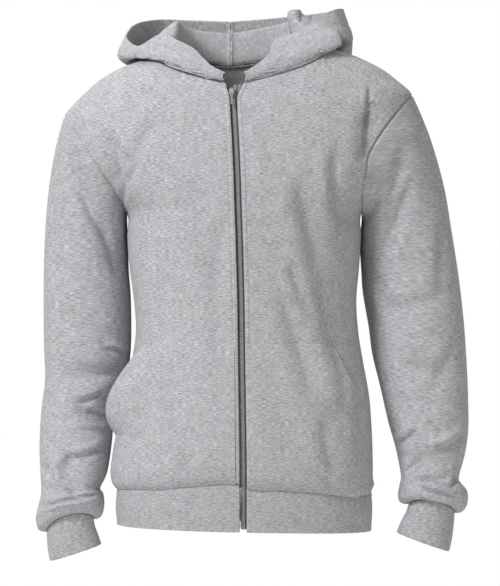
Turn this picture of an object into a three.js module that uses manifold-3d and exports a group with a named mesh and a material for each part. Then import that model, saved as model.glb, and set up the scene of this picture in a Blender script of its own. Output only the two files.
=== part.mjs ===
// Full-zip hoodie in its worn shape, hollow, with the hood down. Millimetres, +Z up.
// The fronts face -Y and +X is the left-hand side of the garment as worn.
// The origin is midway between the shoulders at the height of the neck side points.
import * as THREE from "three";
import { mergeVertices } from "three/addons/utils/BufferGeometryUtils.js";
import Module from "manifold-3d";

const bodyWall = 2.0; // brushed fleece of fronts, back and sleeves
const ribWall = 2.2; // folded rib of cuffs and hem band
const hoodWall = 2.4; // hood cloth
const pocketWall = 1.2; // patch pocket
const tapeWall = 1.0; // woven zip tape
const seamGap = 0.4; // between two pieces at a seam
const armholeGap = 0.7; // between body and sleeve
const underarmGap = 1; // how much wider that gap is at the underarm, as a share
const layGap = 0.35; // between a piece and what it lies on
const crown = 2.3; // exponent of the torso sections, 2 is an ellipse
const sleeveCrown = 2.15; // the same for the sleeve sections
const neckFrontZ = -38; // neck seam at the zip
const neckBackZ = -2; // neck seam at the middle of the back
const neckFrontShare = 0.56; // of the neck seam that runs from the zip to the shoulder
const yokeZ = -104; // height at the middle of the row that ends at the shoulder tip

// Torso sections, bottom to top: zip line x, half widths to the right and left, depths
const torso = [
  { z: -611, mid: -2.0, right: 172, left: 182, front: 113, back: 118 },
  { z: -604, mid: -2.0, right: 178, left: 185, front: 119, back: 124 },
  { z: -590, mid: -2.0, right: 181, left: 185, front: 124, back: 129 },
  { z: -560, mid: -2.2, right: 178, left: 185, front: 127, back: 130 },
  { z: -520, mid: -2.6, right: 171, left: 184, front: 128, back: 128 },
  { z: -470, mid: -3.2, right: 160, left: 181, front: 127, back: 124 },
  { z: -420, mid: -4.0, right: 150, left: 173, front: 126, back: 119 },
  { z: -380, mid: -4.4, right: 144, left: 167, front: 126, back: 116 },
  { z: -336, mid: -5.0, right: 146, left: 165, front: 127, back: 116 },
  { z: -290, mid: -6.2, right: 151, left: 170, front: 129, back: 120 },
  { z: -246, mid: -7.4, right: 153, left: 174, front: 131, back: 126 },
  { z: -214, mid: -8.6, right: 152, left: 176, front: 132, back: 130 },
  { z: -180, mid: -9.6, right: 186, left: 206, front: 130, back: 132 },
  { z: -140, mid: -11.2, right: 228, left: 236, front: 124, back: 130 },
  { z: -105, mid: -13.0, right: 240, left: 250, front: 117, back: 124 },
  { z: -79, mid: -14.5, right: 234, left: 256, front: 110, back: 117 },
  { z: -49, mid: -16.0, right: 206, left: 254, front: 101, back: 106 },
  { z: -28, mid: -16.5, right: 181, left: 232, front: 92, back: 97 },
  { z: -12, mid: -16.5, right: 153, left: 210, front: 84, back: 89 },
  { z: 4, mid: -16.5, right: 107, left: 177, front: 76, back: 81 },
  { z: 12, mid: -16.5, right: 80, left: 152, front: 72, back: 77 },
  { z: 26, mid: -16.5, right: 56, left: 93, front: 66, back: 71 },
];

// Where pieces meet on each side: shoulder tip, underarm, neck side point, armhole bow
const sides = {
  right: { sign: -1, tipX: -248.5, tipZ: -79, pitX: -160.6, pitZ: -214, napeZ: 12, bowFront: 2, bowBack: 0 },
  left: { sign: 1, tipX: 238, tipZ: -49, pitX: 167.4, pitZ: -214, napeZ: 25, bowFront: 22, bowBack: 2 },
};

// Front edges at the zip: how far they stand from the zip line, closed and at the open top
const zipEdges = {
  right: { closed: 1.5, open: 6.0 },
  left: { closed: 9.5, open: 18.5 },
};
const zipOpensZ = -62; // below this the zip is closed
const zipLowZ = -648; // lower end of the zip
const chain = { from: -1.2, to: 1.4, deep: 1.0, thick: 1.0, top: -58.3 };
const tape = { hidden: 12, shown: 21, inner: 0.25, spread: 4.0 };

// Hem band: top and bottom heights, which tilt a little round the body
const hem = {
  top: -603,
  topFront: 7.5,
  topLeft: -3.5,
  bottom: -653,
  bottomFront: 1.5,
  bottomLeft: -4.5,
  drawnIn: 2.1, // how much narrower the bottom edge is
  proud: 3.0, // how far its top edge stands out past the cloth
  eased: 150, // height above it over which the tilt dies away
};
// Uneven rise of the hem seam, by degrees round the body from the middle of the fronts
const hemRise = [
  { degrees: -180, rise: 0 },
  { degrees: -95, rise: 0 },
  { degrees: -60, rise: 1 },
  { degrees: -40, rise: 0.5 },
  { degrees: -26, rise: 3.5 },
  { degrees: -8, rise: 9 },
  { degrees: -1, rise: 9 },
  { degrees: 1, rise: 2.5 },
  { degrees: 14, rise: 2 },
  { degrees: 35, rise: -1 },
  { degrees: 58, rise: -5 },
  { degrees: 74, rise: -4 },
  { degrees: 84, rise: 4 },
  { degrees: 92, rise: 5 },
  { degrees: 110, rise: 0 },
  { degrees: 180, rise: 0 },
];

// Largest folds of the torso, as straight troughs seen from the front or the back
const frontFolds = [
  { x0: -182, z0: -108, x1: -170, z1: -186, width: 12, depth: 8 },
  { x0: 176, z0: -70, x1: 170, z1: -150, width: 16, depth: 8 },
  { x0: 82, z0: -178, x1: 104, z1: -280, width: 18, depth: 5 },
  { x0: 104, z0: -280, x1: 146, z1: -480, width: 19, depth: 6 },
  { x0: 58, z0: -330, x1: 100, z1: -470, width: 18, depth: 4 },
  { x0: -60, z0: -170, x1: -40, z1: -330, width: 20, depth: 3 },
];
const backFolds = [
  { x0: -150, z0: -120, x1: -128, z1: -260, width: 16, depth: 8 },
  { x0: 158, z0: -110, x1: 132, z1: -260, width: 16, depth: 8 },
  { x0: -96, z0: -300, x1: 96, z1: -372, width: 22, depth: 6 },
  { x0: 110, z0: -300, x1: -70, z1: -430, width: 20, depth: 5 },
  { x0: -120, z0: -440, x1: 60, z1: -500, width: 20, depth: 5 },
];

// Patch pockets: angles round the torso of the slanted mouth, and how its lip stands off
const pocketLip = { steps: 3, widest: 0.8, fullness: 1.2, reach: 0.42, stand: 0.75, edge: 0.012 };
const pockets = {
  right: { topZ: -392, lowZ: -530, topAngle: 60, lowAngle: 80, out: 27, forward: 11 },
  left: { topZ: -396, lowZ: -490, topAngle: 48, lowAngle: 60, out: 5, forward: 6 },
};

// Sleeve sections from the armhole down: outermost and innermost points, centre y, half depth
const sleeveSections = {
  right: [
    { outX: -259, outZ: -112, inX: -164.5, inZ: -226, y: 14, deep: 75 },
    { outX: -268, outZ: -155, inX: -162.5, inZ: -245, y: 20, deep: 73 },
    { outX: -275, outZ: -210, inX: -161.5, inZ: -266, y: 25, deep: 70 },
    { outX: -278.5, outZ: -270, inX: -159.5, inZ: -296, y: 27, deep: 66 },
    { outX: -279.5, outZ: -335, inX: -156.5, inZ: -338, y: 27, deep: 62 },
    { outX: -279, outZ: -402, inX: -156.5, inZ: -402, y: 27, deep: 58 },
    { outX: -277.5, outZ: -447, inX: -163, inZ: -447, y: 27, deep: 55 },
    { outX: -282.5, outZ: -490, inX: -179, inZ: -490, y: 26, deep: 52 },
    { outX: -285, outZ: -540, inX: -183, inZ: -535, y: 22, deep: 50 },
    { outX: -283, outZ: -582, inX: -189.5, inZ: -578, y: 16, deep: 46 },
    { outX: -282, outZ: -607, inX: -199, inZ: -600, y: 12, deep: 43 },
    { outX: -285, outZ: -622, inX: -195, inZ: -607, y: 10, deep: 48 },
    { outX: -289, outZ: -642, inX: -193, inZ: -622, y: 8, deep: 50 },
    { outX: -286, outZ: -657, inX: -196, inZ: -637, y: 7, deep: 46 },
    { outX: -280, outZ: -660.5, inX: -202, inZ: -643, y: 6, deep: 40 },
    { outX: -274, outZ: -661, inX: -207.5, inZ: -643.5, y: 6, deep: 35 },
  ],
  left: [
    { outX: 253, outZ: -80, inX: 171, inZ: -226, y: 14, deep: 78 },
    { outX: 269, outZ: -122, inX: 168.5, inZ: -244, y: 20, deep: 76 },
    { outX: 285, outZ: -180, inX: 167, inZ: -265, y: 25, deep: 72 },
    { outX: 296, outZ: -245, inX: 167.8, inZ: -294, y: 25, deep: 69 },
    { outX: 305, outZ: -305, inX: 170, inZ: -326, y: 23, deep: 66 },
    { outX: 311.5, outZ: -364, inX: 178, inZ: -374, y: 19, deep: 63 },
    { outX: 315, outZ: -414, inX: 183, inZ: -412, y: 16, deep: 60 },
    { outX: 317, outZ: -465, inX: 194.5, inZ: -460, y: 11, deep: 56 },
    { outX: 317, outZ: -515, inX: 205, inZ: -507, y: 4, deep: 53 },
    { outX: 312, outZ: -550, inX: 215, inZ: -543, y: -2, deep: 49 },
    { outX: 303, outZ: -583, inX: 222, inZ: -580, y: -8, deep: 44 },
    { outX: 306, outZ: -592, inX: 220.5, inZ: -592, y: -10, deep: 46 },
    { outX: 314.5, outZ: -604, inX: 218, inZ: -606, y: -12, deep: 50 },
    { outX: 314, outZ: -622, inX: 219, inZ: -616, y: -13, deep: 50 },
    { outX: 306, outZ: -632, inX: 225, inZ: -620.5, y: -14, deep: 43 },
    { outX: 297, outZ: -633, inX: 232, inZ: -621, y: -14, deep: 36 },
  ],
};

// Largest folds of the sleeves, in the same terms as the torso's
const sleeveFolds = {
  right: {
    front: [
      { x0: -238, z0: -151, x1: -174, z1: -300, width: 15, depth: 6 },
      { x0: -252, z0: -352, x1: -172, z1: -404, width: 13, depth: 5 },
      { x0: -250, z0: -446, x1: -172, z1: -438, width: 12, depth: 5 },
      { x0: -232, z0: -488, x1: -186, z1: -506, width: 12, depth: 4 },
      { x0: -246, z0: -548, x1: -232, z1: -602, width: 13, depth: 5 },
    ],
    back: [
      { x0: -250, z0: -180, x1: -182, z1: -310, width: 15, depth: 6 },
      { x0: -262, z0: -400, x1: -180, z1: -420, width: 13, depth: 5 },
      { x0: -260, z0: -470, x1: -190, z1: -452, width: 13, depth: 5 },
    ],
  },
  left: {
    front: [
      { x0: 222, z0: -110, x1: 205, z1: -235, width: 14, depth: 6 },
      { x0: 286, z0: -330, x1: 196, z1: -352, width: 14, depth: 4 },
      { x0: 296, z0: -438, x1: 214, z1: -424, width: 13, depth: 4 },
      { x0: 300, z0: -546, x1: 226, z1: -560, width: 13, depth: 5 },
    ],
    back: [
      { x0: 240, z0: -150, x1: 190, z1: -290, width: 15, depth: 6 },
      { x0: 300, z0: -392, x1: 200, z1: -372, width: 14, depth: 5 },
      { x0: 304, z0: -470, x1: 216, z1: -444, width: 14, depth: 5 },
    ],
  },
};

// Cuff sections, top to bottom, in the same terms
const cuffSections = {
  right: [
    { outX: -273.6, outZ: -661.9, inX: -207.8, inZ: -644.4, y: 6, deep: 34.6 },
    { outX: -273, outZ: -672, inX: -206, inZ: -653, y: 5, deep: 34 },
    { outX: -271, outZ: -686, inX: -202, inZ: -665, y: 4, deep: 33 },
    { outX: -268.5, outZ: -700, inX: -197.5, inZ: -677, y: 2, deep: 32.5 },
  ],
  left: [
    { outX: 296.6, outZ: -633.9, inX: 232.3, inZ: -621.9, y: -14, deep: 35.6 },
    { outX: 295.5, outZ: -645, inX: 228.5, inZ: -632, y: -15, deep: 35 },
    { outX: 292.5, outZ: -664, inX: 222, inZ: -645, y: -16, deep: 34 },
    { outX: 288.5, outZ: -685, inX: 216, inZ: -659, y: -18, deep: 33 },
  ],
};

// Hood profiles by their share of the way round the neck, from the zip (0) to the back seam (1).
// The bearing in degrees turns from the front over the side to the back. Each point of a profile
// is so far out from the neck seam along it, and so far up.
const hoodColumns = [
  ...["s", "bearing", "rollOut", "rollUp", "fallOut", "fallUp"],
  ...["footOut", "footUp", "sideOut", "sideUp", "edgeOut", "edgeUp"],
];
const hoodTable = {
  right: [
    [0.0, 85, 0.5, 3, 0.8, 6, 0.5, 8, -0.5, 10, -2, 11],
    [0.05, 85, 1, 4, 1.5, 7, 1, 10, -3, 13, -11, 15],
    [0.1, 85, 2, 4, 4, 7, 3.5, 11, -5, 16, -24, 18],
    [0.18, 85, 3, 4, 7, 5, 7, 10, -4, 19, -33, 24],
    [0.28, 80, 6, 4, 17, -2, 20, 2, 12, 16, -17, 27],
    [0.38, 75, 4, 9, 22, 2, 37, -9, 36, 6, 8, 26],
    [0.46, 78, -1, 22, 16, 14, 46, -13, 54, -4, 30, 16],
    [0.52, 84, -3, 36, 14, 28, 54, -14, 70, -8, 50, 6],
    [0.6, 92, -3, 43, 16, 26, 58, -18, 80, -4, 68, 20],
    [0.7, 106, 0, 46, 24, 12, 56, -26, 80, -4, 70, 37],
    [0.85, 138, 5, 46, 26, -26, 62, -124, 94, -46, 77, 58],
    [0.93, 160, 5, 46, 26, -44, 64, -162, 96, -71, 75, 62],
    [1.0, 180, 5, 47, 26, -50, 64, -174, 96, -79, 74, 63],
  ],
  left: [
    [0.0, 85, 0.5, 3, 0.8, 6, 0.5, 8, -0.5, 10, -2, 11],
    [0.05, 85, 1.5, 4, 2.5, 7, 1.5, 11, -4, 14, -14, 17],
    [0.1, 85, 2, 4, 4, 8, 3, 12, -8, 18, -29, 21],
    [0.18, 82, 2.5, 5, 5, 9, 4, 14, -14, 23, -52, 29],
    [0.28, 80, 6, 5, 15, 4, 20, 9, 6, 22, -43, 26],
    [0.38, 78, 4, 9, 22, 5, 36, 2, 33, 17, -8, 29],
    [0.48, 82, -6, 26, 10, 20, 38, 2, 52, 10, 22, 35],
    [0.55, 88, -13, 42, 8, 32, 40, 4, 68, 4, 50, 45],
    [0.62, 97, -8, 47, 16, 26, 46, -6, 75, 3, 60, 47],
    [0.7, 106, -3, 48, 22, 16, 52, -18, 76, 4, 63, 48],
    [0.85, 138, 2, 52, 26, -24, 62, -124, 94, -45, 76, 58],
    [0.93, 160, 4, 49, 26, -44, 64, -162, 96, -71, 75, 62],
    [1.0, 180, 5, 47, 26, -50, 64, -174, 96, -79, 74, 63],
  ],
};

// How the hood lies: above the neck seam, clear of the body once past its roll, straight at its foot
const hoodLies = { above: 1.6, clear: 4.6, past: 2.5, straight: 6, straightShare: 0.3 };

// How many steps each grid has
const steps = {
  across: 10, // a front, zip to side
  low: 13, // rows below the underarm
  arm: 10, // rows along half an armhole
  shoulder: 5, // rows along a shoulder seam
  backAcross: 16,
  sleeveRow: 22, // mm along a sleeve
  cuffRound: 22,
  bandRound: 44,
  hoodRound: 18,
  hoodAlong: 18,
};

const half = Math.PI / 2;
const bottomZ = torso[0].z;
const mix = (a, b, t) => a + (b - a) * t;
const clamp = (t) => Math.min(1, Math.max(0, t));
const smooth = (t) => clamp(t) ** 2 * (3 - 2 * clamp(t));
const power = (value, exponent) => Math.sign(value) * Math.abs(value) ** exponent;
const range = (count, of) => Array.from({ length: count + 1 }, (_, i) => of(i / count, i));
const wayBetween = (a, b) => b.clone().sub(a).normalize();

// Smooth value between the rows of a table, by cubic steps with slopes from the neighbours
function throughRows(rows, key, column, at) {
  const last = rows.length - 1;
  let i = 0;
  while (i < last - 1 && at >= rows[i + 1][key]) i += 1;
  const slope = (k) => {
    const a = rows[Math.max(k - 1, 0)];
    const b = rows[Math.min(k + 1, last)];
    return (b[column] - a[column]) / (b[key] - a[key]);
  };
  const h = rows[i + 1][key] - rows[i][key];
  const u = (at - rows[i][key]) / h;
  return (
    (1 + 2 * u) * (1 - u) ** 2 * rows[i][column] +
    u * (1 - u) ** 2 * h * slope(i) +
    u * u * (3 - 2 * u) * rows[i + 1][column] +
    u * u * (u - 1) * h * slope(i + 1)
  );
}

const size = (column, z) => throughRows(torso, "z", column, z);

// Point of the smooth torso at an angle from the zip line, under 0 to the right
function torsoBase(angle, z) {
  const sine = Math.sin(angle);
  const cosine = Math.cos(angle);
  const wide = size(sine < 0 ? "right" : "left", z);
  const deep = cosine > 0 ? -size("front", z) : size("back", z);
  const x = size("mid", z) + wide * power(sine, 2 / crown);
  return new THREE.Vector3(x, deep * Math.abs(cosine) ** (2 / crown), z);
}

// Angle at which a torso section reaches that x, up to a right angle at the side
function angleAt(x, z, sign) {
  const share = (sign * (x - size("mid", z))) / size(sign < 0 ? "right" : "left", z);
  return Math.asin(clamp(share) ** (crown / 2));
}

function normalOf(surface, u, v, du, dv) {
  const along = surface(u + du, v).sub(surface(u - du, v));
  const up = surface(u, v + dv).sub(surface(u, v - dv));
  return along.cross(up).normalize();
}

const torsoNormal = (angle, z) => normalOf(torsoBase, angle, z, 0.004, 0.8);

function foldDepth(folds, x, z) {
  let depth = 0;
  for (const f of folds) {
    const runX = f.x1 - f.x0;
    const runZ = f.z1 - f.z0;
    const length = Math.hypot(runX, runZ);
    const along = ((x - f.x0) * runX + (z - f.z0) * runZ) / length ** 2;
    const off = ((x - f.x0) * runZ - (z - f.z0) * runX) / length;
    const ends = smooth((along + 0.12) / 0.35) * smooth((1.12 - along) / 0.35);
    depth += f.depth * ends * Math.exp(-((off / f.width) ** 2));
  }
  return depth;
}

function torsoOuter(angle, z) {
  const point = torsoBase(angle, z);
  const front = smooth((Math.cos(angle) + 0.02) / 0.25);
  const back = smooth((0.02 - Math.cos(angle)) / 0.25);
  const depth = front * foldDepth(frontFolds, point.x, z) + back * foldDepth(backFolds, point.x, z);
  return point.addScaledVector(torsoNormal(angle, z), -depth);
}

// Moves a point out along the torso's own slope until it stands clear of the cloth there
function clearOfTorso(point, need) {
  const reach = (p) => {
    const z = Math.min(p.z, torso[torso.length - 1].z);
    const x = p.x - size("mid", z);
    const wide = size(x < 0 ? "right" : "left", z);
    const deep = size(p.y < 0 ? "front" : "back", z);
    return (Math.abs(x / wide) ** crown + Math.abs(p.y / deep) ** crown) ** (1 / crown) - 1;
  };
  for (let turn = 0; turn < 4; turn += 1) {
    const here = reach(point);
    const slope = new THREE.Vector3();
    for (const axis of ["x", "y", "z"]) {
      const moved = point.clone();
      moved[axis] += 1;
      slope[axis] = reach(moved) - here;
    }
    const short = need - here / slope.length();
    if (short <= 0) break;
    point.addScaledVector(slope.normalize(), short);
  }
  return point;
}

// Closed body between an outer and an inner grid of points. A tube's columns join up.
function shell(outer, inner, tube = false) {
  const rows = outer.length;
  const columns = outer[0].length;
  const points = [...outer.flat(), ...inner.flat()];
  const at = (layer, i, j) => layer * rows * columns + i * columns + (j % columns);
  const faces = [];
  const quad = (a, b, c, d) => faces.push(a, b, c, a, c, d);
  const lastColumn = tube ? columns : columns - 1;
  for (let i = 0; i < rows - 1; i += 1) {
    for (let j = 0; j < lastColumn; j += 1) {
      quad(at(0, i, j), at(0, i, j + 1), at(0, i + 1, j + 1), at(0, i + 1, j));
      quad(at(1, i, j), at(1, i + 1, j), at(1, i + 1, j + 1), at(1, i, j + 1));
    }
    if (!tube) {
      quad(at(0, i, 0), at(0, i + 1, 0), at(1, i + 1, 0), at(1, i, 0));
      const j = columns - 1;
      quad(at(0, i, j), at(1, i, j), at(1, i + 1, j), at(0, i + 1, j));
    }
  }
  for (let j = 0; j < lastColumn; j += 1) {
    quad(at(0, 0, j), at(1, 0, j), at(1, 0, j + 1), at(0, 0, j + 1));
    const i = rows - 1;
    quad(at(0, i, j), at(0, i, j + 1), at(1, i, j + 1), at(1, i, j));
  }
  const volume = faces.reduce((sum, _, k) => {
    if (k % 3) return sum;
    return sum + points[faces[k]].dot(points[faces[k + 1]].clone().cross(points[faces[k + 2]]));
  }, 0);
  if (volume < 0) faces.reverse();
  const geometry = new THREE.BufferGeometry().setFromPoints(points);
  geometry.setIndex(faces);
  return geometry;
}

// Unit normals of a grid, by its neighbouring points. A flip of -1 turns them round.
function gridNormals(grid, flip, tube = false) {
  const last = grid[0].length - 1;
  const column = (j) => (tube ? (j + last + 1) % (last + 1) : Math.min(Math.max(j, 0), last));
  return grid.map((row, i) =>
    row.map((_, j) => {
      const across = row[column(j + 1)].clone().sub(row[column(j - 1)]);
      const above = grid[Math.min(i + 1, grid.length - 1)][j];
      const below = grid[Math.max(i - 1, 0)][j];
      return across.cross(above.clone().sub(below)).normalize().multiplyScalar(flip);
    }),
  );
}

const moved = (grid, normals, distance) =>
  grid.map((row, i) => row.map((p, j) => p.clone().addScaledVector(normals[i][j], distance)));

// Armhole seam. Turn 0 is the shoulder tip and half a circle the underarm, under 0 at the front.
function armhole(side, turn) {
  const q = sides[side];
  const fall = (1 - Math.cos(turn)) / 2;
  const z = mix(q.tipZ, q.pitZ, fall);
  const bow = Math.sin(turn) < 0 ? q.bowFront : q.bowBack;
  const x = mix(q.tipX, q.pitX, fall) - q.sign * bow * 4 * fall * (1 - fall);
  const angle = angleAt(x, z, q.sign);
  return { angle: q.sign * (Math.sin(turn) < 0 ? angle : Math.PI - angle), z };
}

function tubeRing(s, turns, exponent) {
  return turns.map((turn) => {
    const c = power(Math.cos(turn), 2 / exponent);
    const q = power(Math.sin(turn), 2 / exponent);
    const x = (s.outX + s.inX) / 2 + ((s.outX - s.inX) / 2) * c;
    const z = (s.outZ + s.inZ) / 2 + ((s.outZ - s.inZ) / 2) * c;
    return new THREE.Vector3(x, s.y + s.deep * q, z);
  });
}

// Rings between given rings, with the same cubic steps as the tables
function betweenRings(rings, at) {
  const last = rings.length - 1;
  const i = Math.min(Math.floor(at), last - 1);
  const u = at - i;
  return rings[i].map((_, j) => {
    const slope = (k) => {
      const a = Math.max(k - 1, 0);
      const b = Math.min(k + 1, last);
      return rings[b][j].clone().sub(rings[a][j]).divideScalar(b - a);
    };
    return rings[i][j]
      .clone()
      .multiplyScalar((1 + 2 * u) * (1 - u) ** 2)
      .addScaledVector(slope(i), u * (1 - u) ** 2)
      .addScaledVector(rings[i + 1][j], u * u * (3 - 2 * u))
      .addScaledVector(slope(i + 1), u * u * (u - 1));
  });
}

const turnsRound = (count) => range(count, (t) => mix(-Math.PI, Math.PI, t)).slice(0, -1);

function sleeveRings(side, turns) {
  const start = turns.map((turn) => {
    const seam = armhole(side, turn);
    return torsoOuter(seam.angle, seam.z);
  });
  return [start, ...sleeveSections[side].map((s) => tubeRing(s, turns, sleeveCrown))];
}

// At a point of the armhole seam: the way the seam's cut faces run in, and the way from body to sleeve
function armholeJoint(side, turn) {
  const sign = sides[side].sign;
  const seam = armhole(side, turn);
  const nearby = [turn - 0.03, turn, turn + 0.03];
  const rings = sleeveRings(side, nearby);
  const toSleeve = wayBetween(rings[0][1], betweenRings(rings, 0.12)[1]);
  const along = wayBetween(rings[0][0], rings[0][2]);
  const bodyNormal = torsoNormal(seam.angle, seam.z);
  const sleeveNormal = along.clone().cross(toSleeve).normalize();
  const outward = new THREE.Vector3(sign * Math.cos(turn), Math.sin(turn), 0.3);
  if (sleeveNormal.dot(outward) < 0) sleeveNormal.negate();
  const toBody = bodyNormal.clone().cross(along).normalize();
  const inwardX = -sign * (0.2 + Math.abs(Math.sin(turn)));
  const bodyLies = new THREE.Vector3(inwardX, 0, Math.min(0, Math.cos(turn)));
  if (toBody.dot(bodyLies) < 0) toBody.negate();
  const apart = toSleeve.clone().sub(toBody);
  apart.setY(apart.y * Math.abs(Math.sin(turn))).normalize();
  const gap = armholeGap * (1 + underarmGap * Math.max(0, -Math.cos(turn)) ** 8);
  return { inward: bodyNormal.add(sleeveNormal).normalize().negate(), apart, gap };
}

// Edge rows of a front or half the back on one side, bottom to top: angle, z, and the armhole turn
function sideRows(side, front) {
  const q = sides[side];
  const rim = front ? 1 : -1;
  const straight = q.sign * half;
  const rising = (count, from, to) => range(count, (t) => ({ angle: straight, z: mix(from, to, t) }));
  const low = rising(steps.low, bottomZ, q.pitZ).slice(0, -1);
  const arm = range(steps.arm, (t) => {
    const turn = -rim * Math.PI * (1 - t);
    const seam = armhole(side, t === 1 ? -rim * 1e-6 : turn);
    const edge = t === 0 || t === 1 ? straight : seam.angle;
    return { angle: edge, z: seam.z, turn: t === 1 ? 0 : turn, seam: true };
  });
  const shoulder = rising(steps.shoulder, q.tipZ, q.napeZ).slice(1);
  return [...low, ...arm, ...shoulder];
}

// Height at the zip or the back's middle on the row that ends at that height at the side
function middleZ(side, z, neckZ) {
  const q = sides[side];
  if (z < q.pitZ) return z;
  if (z < q.tipZ) return mix(q.pitZ, yokeZ, (z - q.pitZ) / (q.tipZ - q.pitZ));
  return mix(yokeZ, neckZ, (z - q.tipZ) / (q.napeZ - q.tipZ));
}

const zipEdge = (side, z) => {
  const e = zipEdges[side];
  return mix(e.closed, e.open, smooth((z - zipOpensZ) / (neckFrontZ - zipOpensZ)));
};

// The hem row is moved to the hem seam, which tilts and waves round the body
const tilted = (level, front, left, angle) => level + front * Math.cos(angle) + left * Math.sin(angle);
const hemTop = (angle) => {
  const degrees = ((THREE.MathUtils.radToDeg(angle) + 540) % 360) - 180;
  const rise = throughRows(hemRise, "degrees", "rise", degrees);
  return tilted(hem.top, hem.topFront, hem.topLeft, angle) + rise;
};
const hemBottom = (angle) => tilted(hem.bottom, hem.bottomFront, hem.bottomLeft, angle);

function panelPoint(angle, z) {
  const rise = hemTop(angle) + seamGap - bottomZ;
  const share = smooth((bottomZ + hem.eased - z) / hem.eased);
  return torsoOuter(angle, z).setZ(z + rise * share);
}

// Grid of a body panel: outer points and the ways in to the inner face
function bodyPanel(rowList, places) {
  const outer = rowList.map((row) => places(row).map((p) => panelPoint(p.angle, p.z)));
  const inward = rowList.map((row, i) =>
    places(row).map((p, j) => {
      const way = torsoNormal(p.angle, p.z).negate();
      if (i === 0) way.setZ(0).normalize();
      return way;
    }),
  );
  return { outer, inward };
}

function easeSeams(panel, rowList, side, column) {
  rowList.forEach((row, i) => {
    if (!row.seam) return;
    const joint = armholeJoint(side, row.turn);
    panel.outer[i][column].addScaledVector(joint.apart, -joint.gap / 2);
    panel.inward[i][column].copy(joint.inward);
  });
}

function trimAngle(angle, z) {
  return angle * (1 - seamGap / 2 / Math.abs(angle) / size("front", Math.min(z, 0)));
}

function frontGrid(side) {
  const sign = sides[side].sign;
  const rows = sideRows(side, true);
  const places = (row) =>
    range(steps.across, (u) => {
      const zipZ = middleZ(side, row.z, neckFrontZ);
      const z = mix(zipZ, row.z, Math.sin(u * half));
      const start = sign * angleAt(size("mid", z) + sign * zipEdge(side, z), z, sign);
      const end = row.seam && Math.abs(row.angle) < half - 1e-6 ? row.angle : trimAngle(sign * half, z);
      return { angle: mix(start, end, u), z };
    });
  const panel = bodyPanel(rows, places);
  easeSeams(panel, rows, side, steps.across);
  return { ...panel, rows };
}

function frontPanel(side) {
  const panel = frontGrid(side);
  return shell(panel.outer, moved(panel.outer, panel.inward, bodyWall));
}

function backPanel() {
  const right = sideRows("right", false);
  const left = sideRows("left", false);
  const round = (angle) => (angle < 0 ? angle + 2 * Math.PI : angle);
  const rows = right.map((row, i) => ({ right: row, left: left[i] }));
  const edgeAngle = (row, sign) => {
    const plain = Math.abs(Math.abs(row.angle) - half) < 1e-6;
    const trim = seamGap / 2 / size("back", Math.min(row.z, 0));
    return plain ? round(sign * (half + trim)) : round(row.angle);
  };
  const places = (row) =>
    range(steps.backAcross, (u) => {
      const side = u < 0.5 ? "left" : "right";
      const mine = row[side];
      const out = Math.abs(1 - 2 * u);
      const z = mix(
        (middleZ("left", row.left.z, neckBackZ) + middleZ("right", row.right.z, neckBackZ)) / 2,
        mine.z,
        Math.sin(out * half),
      );
      return { angle: mix(Math.PI, edgeAngle(mine, sides[side].sign), out), z };
    });
  const panel = bodyPanel(rows, places);
  easeSeams(panel, left, "left", 0);
  easeSeams(panel, right, "right", steps.backAcross);
  return shell(panel.outer, moved(panel.outer, panel.inward, bodyWall));
}

function sleeve(side) {
  const sign = sides[side].sign;
  const turns = turnsRound(2 * steps.arm);
  const rings = sleeveRings(side, turns);
  const places = [0];
  for (let i = 1; i < rings.length; i += 1) {
    const run = (column) => rings[i][column].distanceTo(rings[i - 1][column]);
    const length = (run(0) + run(steps.arm)) / 2;
    const count = Math.max(1, Math.round(length / steps.sleeveRow));
    places.push(...range(count, (t) => i - 1 + t).slice(1));
  }
  const outer = places.map((t) => betweenRings(rings, Math.min(t, rings.length - 1)));
  const smoothNormals = gridNormals(outer, -sign, true);
  outer.forEach((ring, i) =>
    ring.forEach((p, j) => {
      const away = smooth(places[i] / 1.5);
      const folds = Math.sin(turns[j]) < 0 ? sleeveFolds[side].front : sleeveFolds[side].back;
      const facing = smooth(Math.abs(Math.sin(turns[j])) / 0.5);
      p.addScaledVector(smoothNormals[i][j], -away * facing * foldDepth(folds, p.x, p.z));
    }),
  );
  const normals = gridNormals(outer, -sign, true);
  turns.forEach((turn, j) => {
    const joint = armholeJoint(side, turn);
    outer[0][j].addScaledVector(joint.apart, joint.gap / 2);
    normals[0][j].copy(joint.inward).negate();
  });
  return shell(outer, moved(outer, normals, -bodyWall), true);
}

function cuff(side) {
  const turns = turnsRound(steps.cuffRound);
  const rings = cuffSections[side].map((s) => tubeRing(s, turns, sleeveCrown));
  const outer = range(3, (t) => betweenRings(rings, t * (rings.length - 1)));
  const normals = gridNormals(outer, -sides[side].sign, true);
  return shell(outer, moved(outer, normals, -ribWall), true);
}

function hemBand() {
  const stop = (side) => {
    const { sign } = sides[side];
    return sign * angleAt(size("mid", hem.top) + sign * zipEdge(side, hem.top), hem.top, sign);
  };
  const from = stop("left");
  const to = 2 * Math.PI + stop("right");
  const outer = range(3, (v) =>
    range(steps.bandRound, (u) => {
      const angle = mix(from, to, u);
      const out = new THREE.Vector3(Math.sin(angle), -Math.cos(angle), 0);
      const proud = hem.proud - hem.drawnIn * Math.sin(half * (1 - v));
      const point = torsoBase(angle, bottomZ).addScaledVector(out, proud);
      return point.setZ(mix(hemBottom(angle), hemTop(angle), v));
    }),
  );
  const normals = gridNormals(outer, 1);
  normals.forEach((row) => row.forEach((n) => n.setZ(0).normalize()));
  return shell(outer, moved(outer, normals, -ribWall));
}

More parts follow.
